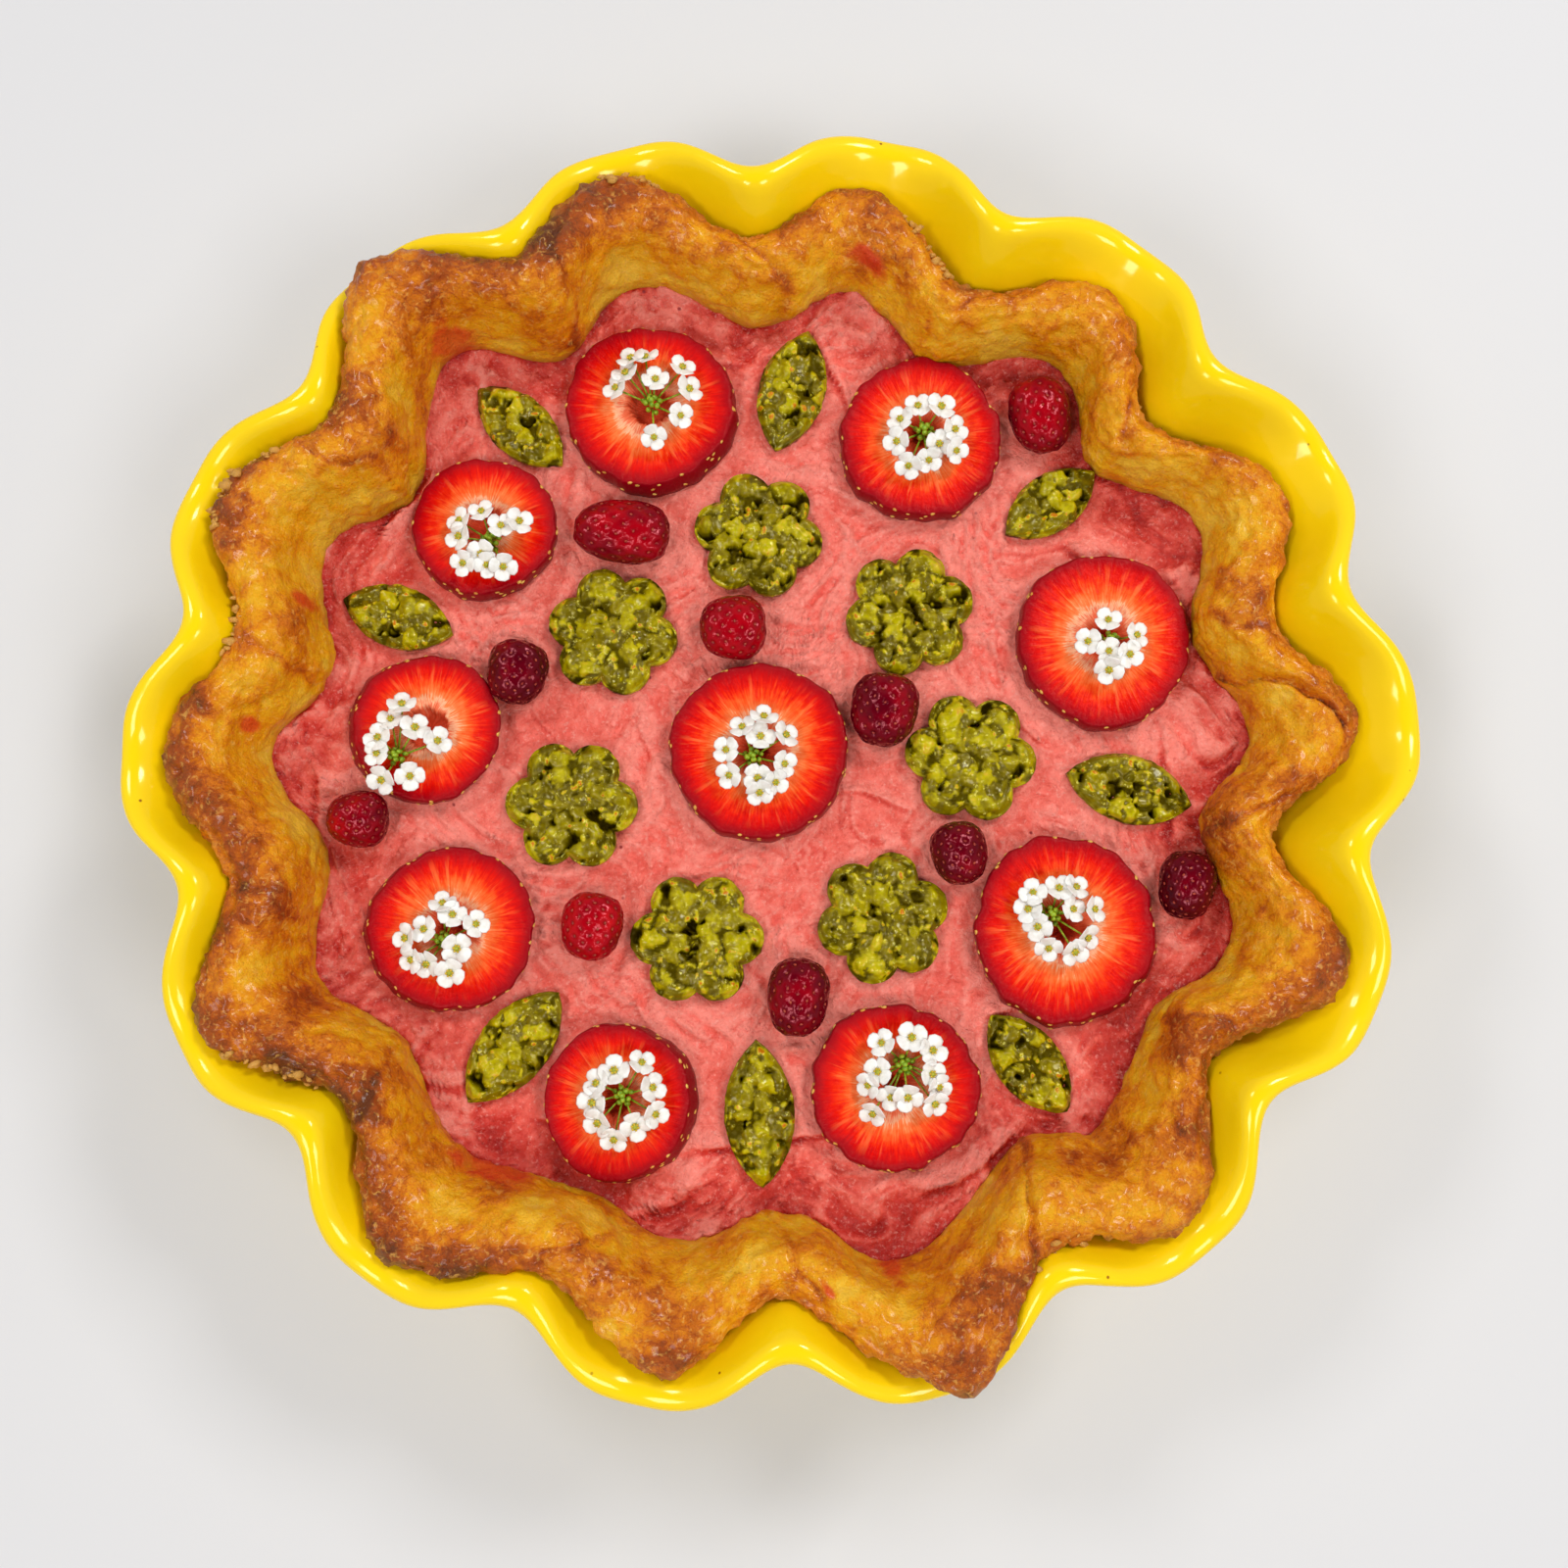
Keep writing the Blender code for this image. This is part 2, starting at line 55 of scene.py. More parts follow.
# Ruffle of the dish, the same as in the solids
LOBES = 14
FIRST_CREST = 1.8
RUFFLE_OUT = 6.1
RUFFLE_NARROW = 1.2
RUFFLE_DIP = 4.0
RUFFLE_START = 6.0
RIM_HEIGHT = 62.0
DISH_OUTSIDE = [(93, 0), (98, 7.5), (106.5, 24), (115, 41), (123, 53.5), (128.5, 59)]
DISH_LIP = [(131.2, 61.6), (130.6, 64.4), (127.8, 65.0), (125.3, 63.8)]
DISH_INSIDE = [(118, 56), (110, 43.5), (101.5, 27), (93, 10), (87.5, 5.5)]
DISH_FOOT = [(0, 0.8), (80, 0.8), (84, 0.8), (84.6, 0), (92, 0)]
DISH_FLOOR = [(60, 5.5), (0, 5.5)]
GLAZE_UNEVEN = 0.35
DISH_STEPS = 672

# Crust: the same lobes, troughs, pockets and bulges as in the solids
CRUST_GAP = 0.6
UNDER_GAP = 0.3
CRUST_WALL = 5.0
CRUST_FLOOR = 5.2
CRUST_THINNEST = 3.5
LIP_CLEAR = 1.3
LIP_REACH = 2.5
CRUST_STEPS = 980
# angle, radius, height of the outer edge, and how dark it is baked
CRUST_LOBES = [
    (2, 124, 57, 0.62), (27, 123, 57, 0.55), (53, 123.5, 57, 0.66), (81, 124.5, 58, 0.8),
    (106.5, 128, 62, 0.86), (130.5, 132.5, 66.5, 0.95), (155.5, 127.5, 61.5, 0.86),
    (181, 125.5, 60, 0.84), (207, 129.5, 61.5, 1.15), (234.5, 129.5, 61.5, 1.15),
    (261, 128, 61.5, 0.62), (287, 134, 66.5, 1.05), (310.5, 128, 61.5, 0.86), (338, 127, 60, 0.85)]
CRUST_TROUGHS = [
    (12.5, 110.5, 58, 0.6), (41, 107.5, 57, 0.62), (67.5, 108.5, 58, 0.75),
    (92, 111.5, 60, 0.8), (117.5, 116.5, 66, 1.15), (144, 115, 65, 0.85),
    (169.5, 114, 63, 0.6), (194.5, 114.3, 63, 0.95), (220, 113.5, 62.5, 1.2),
    (247, 116.5, 66, 0.72), (271, 112.5, 61, 0.45), (299.5, 116, 65, 0.95),
    (325, 111, 59.5, 0.85), (350, 105.5, 56, 0.6)]
CRUST_POCKETS = [
    (2, 103.8, 46), (29, 106.4, 47), (53.5, 107.9, 47), (80, 105.3, 47), (106, 109.4, 48),
    (128.5, 112.7, 50), (155, 107, 48), (181, 108, 47), (207, 107.5, 46), (231.5, 106.2, 46),
    (258, 105, 46), (284, 110, 47), (310.5, 105.3, 46), (337, 106.5, 46)]
CREAM_BELOW_POCKET = 1.5
CRUST_BULGES = [
    (14.5, 96), (41.5, 96), (68.5, 95.5), (92, 97.5), (117.5, 103), (144.5, 98.5), (169.5, 98.5),
    (192.5, 98), (218.5, 99.5), (248.5, 100.5), (272, 97), (302.5, 98), (325.5, 98.5), (351.5, 94)]
BULGE_HEIGHT = 48.0
CREAM_UNDER_BULGE = 41.9
OVERHANG = 0.7
ROLL_RISE = 3.9

# Cream
CREAM_TOP = 41.7
# radius and height of its underside and of its hidden side
CREAM_SIDE = [(0, 11.3), (81, 11.3), (94.8, 27)]
CREAM_STEPS = 588
CREAM_RINGS = 160

# Strawberry slices: how far the cut face sits off the middle, and the size of its hollow core
SLICE_FACES = [
    (-0.7, 1.2, 0.26), (0.2, 0.2, 0.12), (0.4, 0.4, 0.3), (0.0, 0.2, 0.14), (0.0, 0.3, 0.12),
    (2.0, -0.2, 0.3), (1.7, 0.4, 0.16), (-0.8, 0.8, 0.16), (-1.6, 0.3, 0.2), (-0.2, 0.3, 0.16)]
SCALLOPED = (1, 7, 9)
SLICE_COLUMNS = 144
# share of the outline, share of the thickness, and reach from the core to past the rim
SLICE_FLANK = [
    (0.0, 0.0, 1.6), (0.95, 0.0, 1.6), (0.99, 0.2, 1.5), (1.0, 0.45, 1.35),
    (0.995, 0.7, 1.2), (0.985, 0.87, 1.1), (0.973, 0.965, 1.03)]
SLICE_RIM = 0.965
SLICE_RINGS = 34
# row of the flank, and how many seeds sit on it
SEED_ROWS = [(6, 10), (5, 15), (4, 9), (3, 17)]
# Small berries: length, width, turn of the length, and how light their red is
BERRY_LOOKS = [
    (17, 13.5, 100, 0.4), (21, 14, -5, 0.4), (14.5, 14, 0, 0.45), (14, 13, 80, 0.1),
    (16, 14.5, 80, 0.2), (13, 12, 0, 0.35), (13.5, 12, 100, 0.12), (14.5, 12, 80, 0.0),
    (14.5, 13, 80, 0.6), (16.5, 13, 85, 0.2)]
FLOWER_TURNS = [49, 15, 47, 53, -2, 16, 0]
# Flower cut-outs: half angle, middle and radius of a lobe
LOBE_HALF = math.radians(30)
LOBE_CENTRE = 8.7
LOBE_RADIUS = 5.7
# Leaf cut-outs: length, width, turn of the length
LEAF_SHAPES = [
    (26, 13.5, -43), (29, 15, 75), (24.5, 13, 35), (25.5, 14, -18), (28, 15, -15),
    (26, 14, -52), (30, 15, 51), (31, 15, -87)]
NUT_COLUMNS = 168
NUT_RINGS = 38
# share of the outline and share of the thickness, up the side of a cut-out
CUTOUT_SIDE = [(0.0, 0.0), (0.97, 0.0), (1.0, 0.15), (1.005, 0.4), (0.99, 0.62)]
# White sprigs: where the bud cluster is, then where each small flower is
SPRIGS = [
    [(-26.6, 77.5), (-31.1, 86.9), (-28.0, 87.2), (-32.2, 83.6), (-34.3, 80.2), (-25.7, 82.0),
     (-19.9, 85.1), (-18.4, 79.9), (-20.2, 73.8), (-25.9, 69.2)],
    [(33.6, 71.2), (32.2, 76.0), (37.2, 75.8), (28.4, 73.1), (27.6, 68.1), (30.1, 62.9),
     (36.7, 67.6), (40.1, 70.8), (40.3, 66.0), (34.4, 64.0)],
    [(-61.5, 46.2), (-63.2, 51.8), (-59.0, 48.6), (-55.2, 49.8), (-67.9, 46.4), (-63.1, 42.6),
     (-67.0, 40.7), (-58.3, 39.8), (-68.0, 50.0), (-61.8, 40.2)],
    [(73.6, 24.0), (72.9, 27.9), (68.5, 23.3), (78.8, 24.7), (72.7, 21.1), (77.1, 20.4),
     (72.7, 17.2)],
    [(-3.9, -1.6), (-1.7, 6.6), (-6.2, 4.3), (2.9, 2.7), (-2.4, 2.3), (-9.6, -0.5),
     (2.6, -3.4), (-8.9, -5.9), (-3.0, -6.4), (0.8, -7.3), (-2.6, -9.4)],
    [(-80.5, -1.6), (-79.4, 9.3), (-81.7, 6.1), (-84.0, 2.0), (-76.4, 4.1), (-71.7, 1.4),
     (-84.1, -1.4), (-83.1, -6.8), (-77.1, -6.1)],
    [(-69.2, -40.9), (-69.5, -33.4), (-67.2, -35.8), (-62.4, -37.7), (-72.9, -38.8),
     (-76.8, -40.6), (-66.3, -42.7), (-72.4, -45.9), (-75.6, -45.0), (-67.5, -47.7)],
    [(59.6, -35.6), (55.4, -31.1), (60.8, -30.2), (64.5, -29.9), (63.6, -34.5), (54.4, -34.5),
     (56.3, -38.1), (68.1, -34.5), (66.5, -40.4), (58.5, -42.5), (63.8, -43.3)],
    [(-31.0, -73.2), (-27.1, -66.6), (-32.6, -68.2), (-36.2, -70.7), (-24.9, -71.6),
     (-37.0, -74.6), (-24.2, -76.9), (-35.8, -78.6), (-32.6, -82.0), (-28.3, -79.4)],
    [(27.9, -66.8), (23.2, -62.5), (29.3, -61.4), (33.6, -64.0), (22.3, -68.2), (20.4, -71.0),
     (33.4, -68.7), (28.4, -73.4), (25.0, -73.4), (21.3, -76.8), (34.0, -74.8), (34.9, -71.4)]]
BUDS = 11
GOLDEN_ANGLE = 137.5

# Stage, in metres: name, place, size and power of each lamp, then the camera
LAMPS = [
    ("window", (0.62, 0.6, 1.05), 0.3, 6.2), ("left_lamp", (-0.65, 0.55, 1.05), 0.26, 3.6),
    ("near_left_lamp", (-0.55, -0.6, 1.15), 0.4, 5.2),
    ("near_right_lamp", (0.6, -0.55, 1.15), 0.4, 5.2)]
CAMERA_PLACE = (0.0014, -0.051, 0.384)
CAMERA_TURN = (7.39, -0.22, 0)
CAMERA_ANGLE = 53
FLOOR_SIZE = 12.0


# Shared geometry

def polar(radius, angle, height=0.0):
    """A point from its radius, angle in degrees and height."""
    turn = math.radians(angle)
    return Vector((radius * math.cos(turn), radius * math.sin(turn), height))


def smooth(value):
    """Eases numbers between 0 and 1."""
    value = np.clip(value, 0.0, 1.0)
    return value * value * (3 - 2 * value)


def eased(rows, column, angles):
    """A column of angle rows at many angles, eased from row to row round the circle."""
    rows = np.array(sorted(rows), float)
    knots = np.concatenate([[rows[-1, 0] - 360], rows[:, 0], [rows[0, 0] + 360]])
    values = np.concatenate([[rows[-1, column]], rows[:, column], [rows[0, column]]])
    angles = np.mod(angles, 360)
    high = np.searchsorted(knots, angles, side="right")
    low = high - 1
    share = smooth((angles - knots[low]) / (knots[high] - knots[low]))
    return values[low] + (values[high] - values[low]) * share


def turn_between(start, end):
    """Turn from one angle to another, from -180 to 180 degrees."""
    return np.mod(end - start + 180, 360) - 180


def rounded(rows, times):
    """Rounds off the corners of a section, keeping its two ends."""
    for _ in range(times):
        start, end = rows[:-1], rows[1:]
        cut = np.empty((2 * len(start),) + rows.shape[1:])
        cut[0::2] = 0.75 * start + 0.25 * end
        cut[1::2] = 0.25 * start + 0.75 * end
        rows = np.concatenate([rows[:1], cut, rows[-1:]])
    return rows


def turned(radius, height, angles):
    """Points in space from radii and heights, row by row, with one column an angle."""
    turn = np.radians(angles)
    return np.stack([radius * np.cos(turn), radius * np.sin(turn), height], axis=-1)


def normals_of(points):
    """Unit normals of a turned sheet whose rows start on its outside and rise."""
    around = np.roll(points, -1, axis=1) - np.roll(points, 1, axis=1)
    along = np.gradient(points, axis=0)
    normal = np.cross(around, along)
    length = np.linalg.norm(normal, axis=-1, keepdims=True)
    return normal / np.maximum(length, 1e-9)


def scatter(cells, salt):
    """A steady random number from 0 to 1 for every whole-number cell."""
    mixed = cells @ np.array((73856093, 19349663, 83492791)) + salt * 2654435761
    mixed = (mixed ^ (mixed >> 13)) * 1274126177
    mixed = mixed ^ (mixed >> 16)
    return (mixed & 0xFFFF) / 0xFFFF


def random_spots(cells, salt):
    """A steady random point from 0 to 1 on each axis for every cell."""
    return np.stack([scatter(cells, salt + axis) for axis in range(3)], axis=-1)


def ripples(points, salt):
    """Smooth noise from about -1 to 1 with cells one unit wide."""
    cells = np.floor(points).astype(np.int64)
    part = points - cells
    ease = part ** 3 * (part * (part * 6 - 15) + 10)
    total = np.zeros(points.shape[:-1])
    for corner in itertools.product((0, 1), repeat=3):
        corner = np.array(corner)
        there = cells + corner
        slope = random_spots(there, salt) * 2 - 1
        weight = np.prod(np.where(corner, ease, 1 - ease), axis=-1)
        total += weight * ((part - corner) * slope).sum(axis=-1)
    return total * 1.7


def rough(points, size, octaves=2, stretch=(1, 1, 1), salt=0):
    """Fractal noise from about -1 to 1, with its largest grain in millimetres."""
    scaled = points / (size * np.array(stretch))
    total = np.zeros(points.shape[:-1])
    for octave in range(octaves):
        total += ripples(scaled * 2 ** octave, salt + 10 * octave) / 2 ** octave
    return total


def pebbles(points, size, salt=0):
    """Distance to the nearest cell middle, and that cell's number."""
    scaled = points / size
    cells = np.floor(scaled).astype(np.int64)
    near = np.full(points.shape[:-1], 9.0)
    label = np.zeros_like(near)
    for step in itertools.product((-1, 0, 1), repeat=3):
        there = cells + np.array(step)
        middle = there + random_spots(there, salt)
        distance = np.linalg.norm(scaled - middle, axis=-1)
        closer = distance < near
        label = np.where(closer, scatter(there, salt + 3), label)
        near = np.where(closer, distance, near)
    return near, label


def sheet_mesh(points, values=None, rings=None):
    """A closed turned surface that faces outwards: a placed grid with its seam merged."""
    count, columns = points.shape[:2]
    bm = bmesh.new()
    bmesh.ops.create_grid(bm, x_segments=columns, y_segments=count - 1, size=1.0)
    layers = {name: bm.verts.layers.float.new(name) for name in values or {}}
    order = np.arange(count * (columns + 1))
    row, column = order // (columns + 1), order % (columns + 1) % columns
    for vert, place in zip(bm.verts, points[row, column].tolist()):
        vert.co = place
    for name, layer in layers.items():
        for vert, value in zip(bm.verts, values[name][row, column].tolist()):
            vert[layer] = value
    if rings is not None:
        uv = bm.loops.layers.uv.new("rings")
        spots = rings[row, column].tolist()
        for face in bm.faces:
            for loop in face.loops:
                loop[uv].uv = spots[loop.vert.index]
    bmesh.ops.remove_doubles(bm, verts=bm.verts, dist=1e-4)
    bmesh.ops.recalc_face_normals(bm, faces=bm.faces)
    if bm.calc_volume(signed=True) < 0:
        bmesh.ops.reverse_faces(bm, faces=bm.faces)
    return bm


def finish_piece(name, bm, materials, nodes=()):
    """Makes a piece in metres from a mesh in millimetres, on its body and in place of its nodes."""
    bmesh.ops.scale(bm, vec=(MM, MM, MM), verts=bm.verts)
    mesh = bpy.data.meshes.new(name)
    bm.to_mesh(mesh)
    bm.free()
    mesh.shade_smooth()
    for material in materials:
        mesh.materials.append(material)
    piece = bpy.data.objects.new(name, mesh)
    bpy.context.scene.collection.objects.link(piece)
    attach(piece, "root")
    if nodes:
        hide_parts(*nodes)
    return piece


def add_mesh(bm, other, matrix, material_index=None):
    """Adds a copy of another bmesh, moved by a matrix."""
    scratch = bpy.data.meshes.new("scratch")
    other.to_mesh(scratch)
    scratch.transform(matrix)
    if material_index is not None:
        for polygon in scratch.polygons:
            polygon.material_index = material_index
    bm.from_mesh(scratch)
    bpy.data.meshes.remove(scratch)


def node_place(node):
    """Middle, size and lowest height of a node, in millimetres."""
    low, high = (Vector(corner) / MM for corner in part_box(node))
    middle = (low + high) / 2
    return middle.x, middle.y, low.z, high - low


def facing(normal, spin=0.0):
    """Rotation that stands +Z on a normal, after a turn about it."""
    return normal.to_track_quat("Z", "Y").to_matrix().to_4x4() @ Matrix.Rotation(spin, 4, "Z")


# Materials

def srgb(red, green, blue):
    """A colour from its display values of 0 to 255, as linear light."""
    linear = []
    for value in (red, green, blue):
        value /= 255
        linear.append(value / 12.92 if value <= 0.04045 else ((value + 0.055) / 1.055) ** 2.4)
    return (*linear, 1.0)


class Finish:
    """One procedural material, built node by node on Object coordinates."""

    def __init__(self, name, **sockets):
        self.material = bpy.data.materials.new(name)
        self.material.use_nodes = True
        self.nodes = self.material.node_tree.nodes
        self.links = self.material.node_tree.links
        self.shader = self.nodes["Principled BSDF"]
        self.place = self.add("ShaderNodeTexCoord").outputs["Object"]
        for socket, value in sockets.items():
            self.shader.inputs[socket.replace("_", " ")].default_value = value

    def add(self, kind, inputs=None, **settings):
        """A node with its settings, and its inputs linked or given."""
        node = self.nodes.new(kind)
        for key, value in settings.items():
            setattr(node, key, value)
        for key, value in (inputs or {}).items():
            self.feed(node.inputs[key], value)
        return node

    def feed(self, socket, value):
        """Links an output to a socket, or sets the socket's own value."""
        if isinstance(value, bpy.types.NodeSocket):
            self.links.new(value, socket)
        else:
            socket.default_value = value

    def grain(self, size, detail=3.0, roughness=0.5, distortion=0.0):
        """Noise with its grain size in millimetres, from 0 to 1."""
        node = self.add("ShaderNodeTexNoise", {
            "Vector": self.place, "Scale": 1 / (size * MM), "Detail": detail,
            "Roughness": roughness, "Distortion": distortion})
        return node.outputs["Fac"]

    def value(self, name):
        """A number stored on the mesh."""
        return self.add("ShaderNodeAttribute", attribute_name=name).outputs["Fac"]

    def math(self, operation, first, second=0.0):
        """Arithmetic on numbers."""
        node = self.add("ShaderNodeMath", {0: first, 1: second}, operation=operation)
        return node.outputs[0]

    def span(self, value, low, high, to_low=0.0, to_high=1.0):
        """A number moved from one range to another and held inside it."""
        node = self.add("ShaderNodeMapRange", {
            "Value": value, "From Min": low, "From Max": high, "To Min": to_low,
            "To Max": to_high})
        return node.outputs["Result"]

    def swing(self, noise, amount):
        """A noise moved to swing by an amount to either side of nothing."""
        return self.span(noise, 0.3, 0.7, -amount, amount)

    def ramp(self, value, stops):
        """Display colours along a number."""
        node = self.add("ShaderNodeValToRGB", {"Fac": value})
        elements = node.color_ramp.elements
        while len(elements) < len(stops):
            elements.new(0.5)
        for element, (position, colour) in zip(elements, stops):
            element.position = position
            element.color = srgb(*colour)
        return node.outputs["Color"]

    def mix(self, share, first, second):
        """Two colours mixed, of which a display colour has three values."""
        first, second = (srgb(*colour) if isinstance(colour, tuple) else colour
                         for colour in (first, second))
        node = self.add("ShaderNodeMix", {0: share, 6: first, 7: second}, data_type="RGBA")
        return node.outputs[2]

    def bump(self, height, depth, before=None):
        """A fine relief, with its depth in millimetres."""
        inputs = {"Height": height, "Distance": depth * MM, "Strength": 1.0}
        if before:
            inputs["Normal"] = before
        return self.add("ShaderNodeBump", inputs).outputs["Normal"]

    def set(self, **sockets):
        """Feeds the shader's sockets."""
        for socket, value in sockets.items():
            self.feed(self.shader.inputs[socket.replace("_", " ")], value)
        return self.material


def glaze_material():
    """Clear glossy yellow glaze, thinner on the lip, with painted fill light lower down the inner
    wall.
    """
    finish = Finish("yellow_glaze", Coat_Weight=0.3, Coat_Roughness=0.03,
                    Specular_IOR_Level=0.4, Specular_Tint=(1.0, 0.85, 0.4, 1.0))
    tone = finish.ramp(finish.grain(22, 3), [
        (0.3, (246, 204, 4)), (0.7, (252, 213, 6))])
    # painted fill light: the glaze is made lighter lower down the inner wall, against the shade
    # from the crust
    colour = finish.mix(finish.span(finish.value("painted_fill_light"), 0, 1, 0, 0.8), tone,
                        (255, 219, 16))
    colour = finish.mix(finish.value("lip"), colour, (255, 216, 14))
    specks = finish.add("ShaderNodeTexVoronoi", {"Vector": finish.place, "Scale": 1 / (7 * MM)})
    spot = finish.span(specks.outputs["Distance"], 0.03, 0.06, 1, 0)
    chance = finish.span(finish.grain(30, 1), 0.52, 0.6)
    colour = finish.mix(finish.math("MULTIPLY", spot, chance), colour, (150, 84, 10))
    clay = finish.value("clay")
    colour = finish.mix(clay, colour, (214, 190, 150))
    ripple = finish.grain(9, 2)
    return finish.set(
        Base_Color=colour,
        Roughness=finish.span(clay, 0, 1, 0.16, 0.8),
        Normal=finish.bump(ripple, 0.25))


def crust_material():
    """Egg-washed pastry from pale gold to toasted brown, by how far each place is baked."""
    finish = Finish("baked_crust", Specular_IOR_Level=0.6, Specular_Tint=(1.0, 0.7, 0.3, 1.0),
                    Coat_Weight=0.24, Coat_Roughness=0.15,
                    Subsurface_Weight=0.05, Subsurface_Radius=(0.004, 0.002, 0.001),
                    Subsurface_Scale=0.5)
    blotch = finish.grain(11, 5, 0.6)
    fine = finish.grain(2.2, 4, 0.65)
    bake = finish.math("ADD", finish.value("bake"), finish.swing(blotch, 0.13))
    bake = finish.math("ADD", bake, finish.swing(fine, 0.09))
    veins = finish.math("SUBTRACT", finish.grain(3.4, 3, 0.6, 0.6), 0.5)
    veins = finish.span(finish.math("ABSOLUTE", veins), 0, 0.05, 0.12, 0)
    bake = finish.math("ADD", bake, veins)
    colour = finish.ramp(bake, [
        (0.0, (244, 190, 50)), (0.16, (240, 172, 16)), (0.34, (234, 148, 0)),
        (0.5, (212, 112, 2)), (0.68, (168, 68, 6)), (0.95, (98, 36, 10))])
    # painted highlight: pale flecks stand in for the egg wash's small highlights
    highlight_fleck = finish.span(finish.grain(1.5, 4, 0.6, 0.8), 0.56, 0.68, 0, 0.5)
    colour = finish.mix(highlight_fleck, colour, (250, 190, 92))
    crumb = finish.value("crumb")
    colour = finish.mix(crumb, colour, (214, 156, 74))
    colour = finish.mix(finish.span(finish.value("soak"), 0, 1, 0, 0.6), colour,
                        (168, 122, 16))
    smear = finish.span(finish.math("ADD", finish.value("smear"),
                                    finish.swing(blotch, 0.3)), 0.35, 0.8, 0, 0.8)
    colour = finish.mix(smear, colour, (216, 44, 22))
    skin = finish.bump(finish.grain(1.9, 6, 0.66, 0.2), 0.9)
    pores = finish.bump(finish.grain(0.6, 3, 0.6), 0.22, skin)
    rough_part = finish.span(finish.grain(5, 3), 0.3, 0.7, 0.3, 0.52)
    return finish.set(
        Base_Color=colour,
        Roughness=finish.span(crumb, 0, 1, rough_part, 0.85),
        Normal=pores)


def cream_material():
    """Satin coral pink cream with the torn grain that the palette knife leaves."""
    finish = Finish("berry_cream", Specular_IOR_Level=0.5, Specular_Tint=(1.0, 0.7, 0.68, 1.0),
                    Subsurface_Weight=0.06, Subsurface_Radius=(0.006, 0.002, 0.0015),
                    Subsurface_Scale=0.4)
    torn = finish.grain(2.2, 5, 0.62, 0.7)
    patch = finish.grain(26, 3)
    # the deep value is painted shade and painted highlight, made in make_cream
    tone = finish.math("ADD", finish.swing(torn, 0.13), finish.value("deep"))
    tone = finish.math("ADD", tone, finish.swing(patch, 0.07))
    colour = finish.ramp(tone, [
        (0.0, (252, 136, 120)), (0.3, (240, 100, 84)), (0.6, (210, 52, 40)),
        (1.0, (168, 20, 16))])
    # painted highlight and painted shade: light specks stand in for sparkle, dark specks for shaded
    # pits
    sparkle_and_shade_speck = finish.grain(0.9, 3, 0.7)
    colour = finish.mix(finish.span(sparkle_and_shade_speck, 0.56, 0.68, 0, 0.42), colour, (255, 182, 168))
    colour = finish.mix(finish.span(sparkle_and_shade_speck, 0.43, 0.32, 0, 0.36), colour, (196, 44, 36))
    # painted shade: dark spots for small pits, with no dent under them
    pits = finish.add("ShaderNodeTexVoronoi", {"Vector": finish.place, "Scale": 1 / (6 * MM)})
    pit_shade = finish.span(pits.outputs["Distance"], 0.04, 0.09, 1, 0)
    chance = finish.span(finish.grain(12, 1), 0.55, 0.62)
    colour = finish.mix(finish.math("MULTIPLY", pit_shade, chance), colour, (150, 24, 30))
    relief = finish.bump(torn, 0.9)
    grit = finish.bump(finish.grain(0.7, 3, 0.7), 0.3, relief)
    return finish.set(
        Base_Color=colour, Normal=grit,
        Roughness=finish.span(finish.grain(3, 3), 0.3, 0.7, 0.18, 0.36))


def slice_material():
    """Cut strawberry: pale ring round the core, orange to deep red flesh, dark skin."""
    finish = Finish("strawberry", Roughness=0.24, Specular_IOR_Level=0.34,
                    Specular_Tint=(1.0, 0.36, 0.3, 1.0), Subsurface_Weight=0.06,
                    Subsurface_Radius=(0.004, 0.001, 0.0005), Subsurface_Scale=0.5)
    reach = finish.value("reach")
    uv = finish.add("ShaderNodeUVMap", uv_map="rings").outputs["UV"]
    way = finish.add("ShaderNodeVectorMath", {0: uv}, operation="NORMALIZE").outputs["Vector"]
    drift = finish.add("ShaderNodeMapping", {"Vector": finish.place, "Scale": (9, 9, 0)})
    spoke_at = finish.add("ShaderNodeVectorMath", {0: way, 1: drift.outputs["Vector"]},
                          operation="ADD").outputs["Vector"]
    spokes = finish.add("ShaderNodeTexNoise", {
        "Vector": spoke_at, "Scale": 9.0, "Detail": 3.0, "Roughness": 0.6}).outputs["Fac"]
    streak = finish.span(spokes, 0.55, 0.64)
    fine = finish.add("ShaderNodeTexNoise", {
        "Vector": spoke_at, "Scale": 24.0, "Detail": 2.0, "Roughness": 0.6}).outputs["Fac"]
    warp = finish.math("ADD", finish.swing(fine, 0.08),
                       finish.swing(finish.grain(2.0, 4), 0.06))
    calm = finish.span(reach, 0.72, 0.95, 1, 0.12)
    depth = finish.math("ADD", reach, finish.math("MULTIPLY", warp, calm))
    flesh = finish.ramp(finish.math("DIVIDE", depth, 1.6), [
        (0.0, (204, 62, 36)), (0.12, (228, 84, 48)), (0.2, (246, 124, 84)),
        (0.245, (255, 196, 154)), (0.285, (254, 134, 74)), (0.36, (250, 92, 30)),
        (0.43, (240, 46, 6)), (0.49, (226, 12, 0)), (0.545, (202, 0, 6)),
        (0.595, (164, 0, 16)), (0.64, (144, 0, 18)), (1.0, (108, 0, 12))])
    inside = finish.span(reach, 0.36, 0.5)
    outside = finish.span(reach, 0.7, 0.92, 1, 0)
    fibre = finish.math("MULTIPLY", finish.math("MULTIPLY", streak, inside), outside)
    colour = finish.mix(finish.math("MULTIPLY", fibre, 0.55), flesh, (252, 128, 64))
    relief = finish.bump(finish.grain(0.9, 4, 0.6), 0.25)
    return finish.set(Base_Color=colour, Normal=finish.bump(spokes, 0.35, relief))


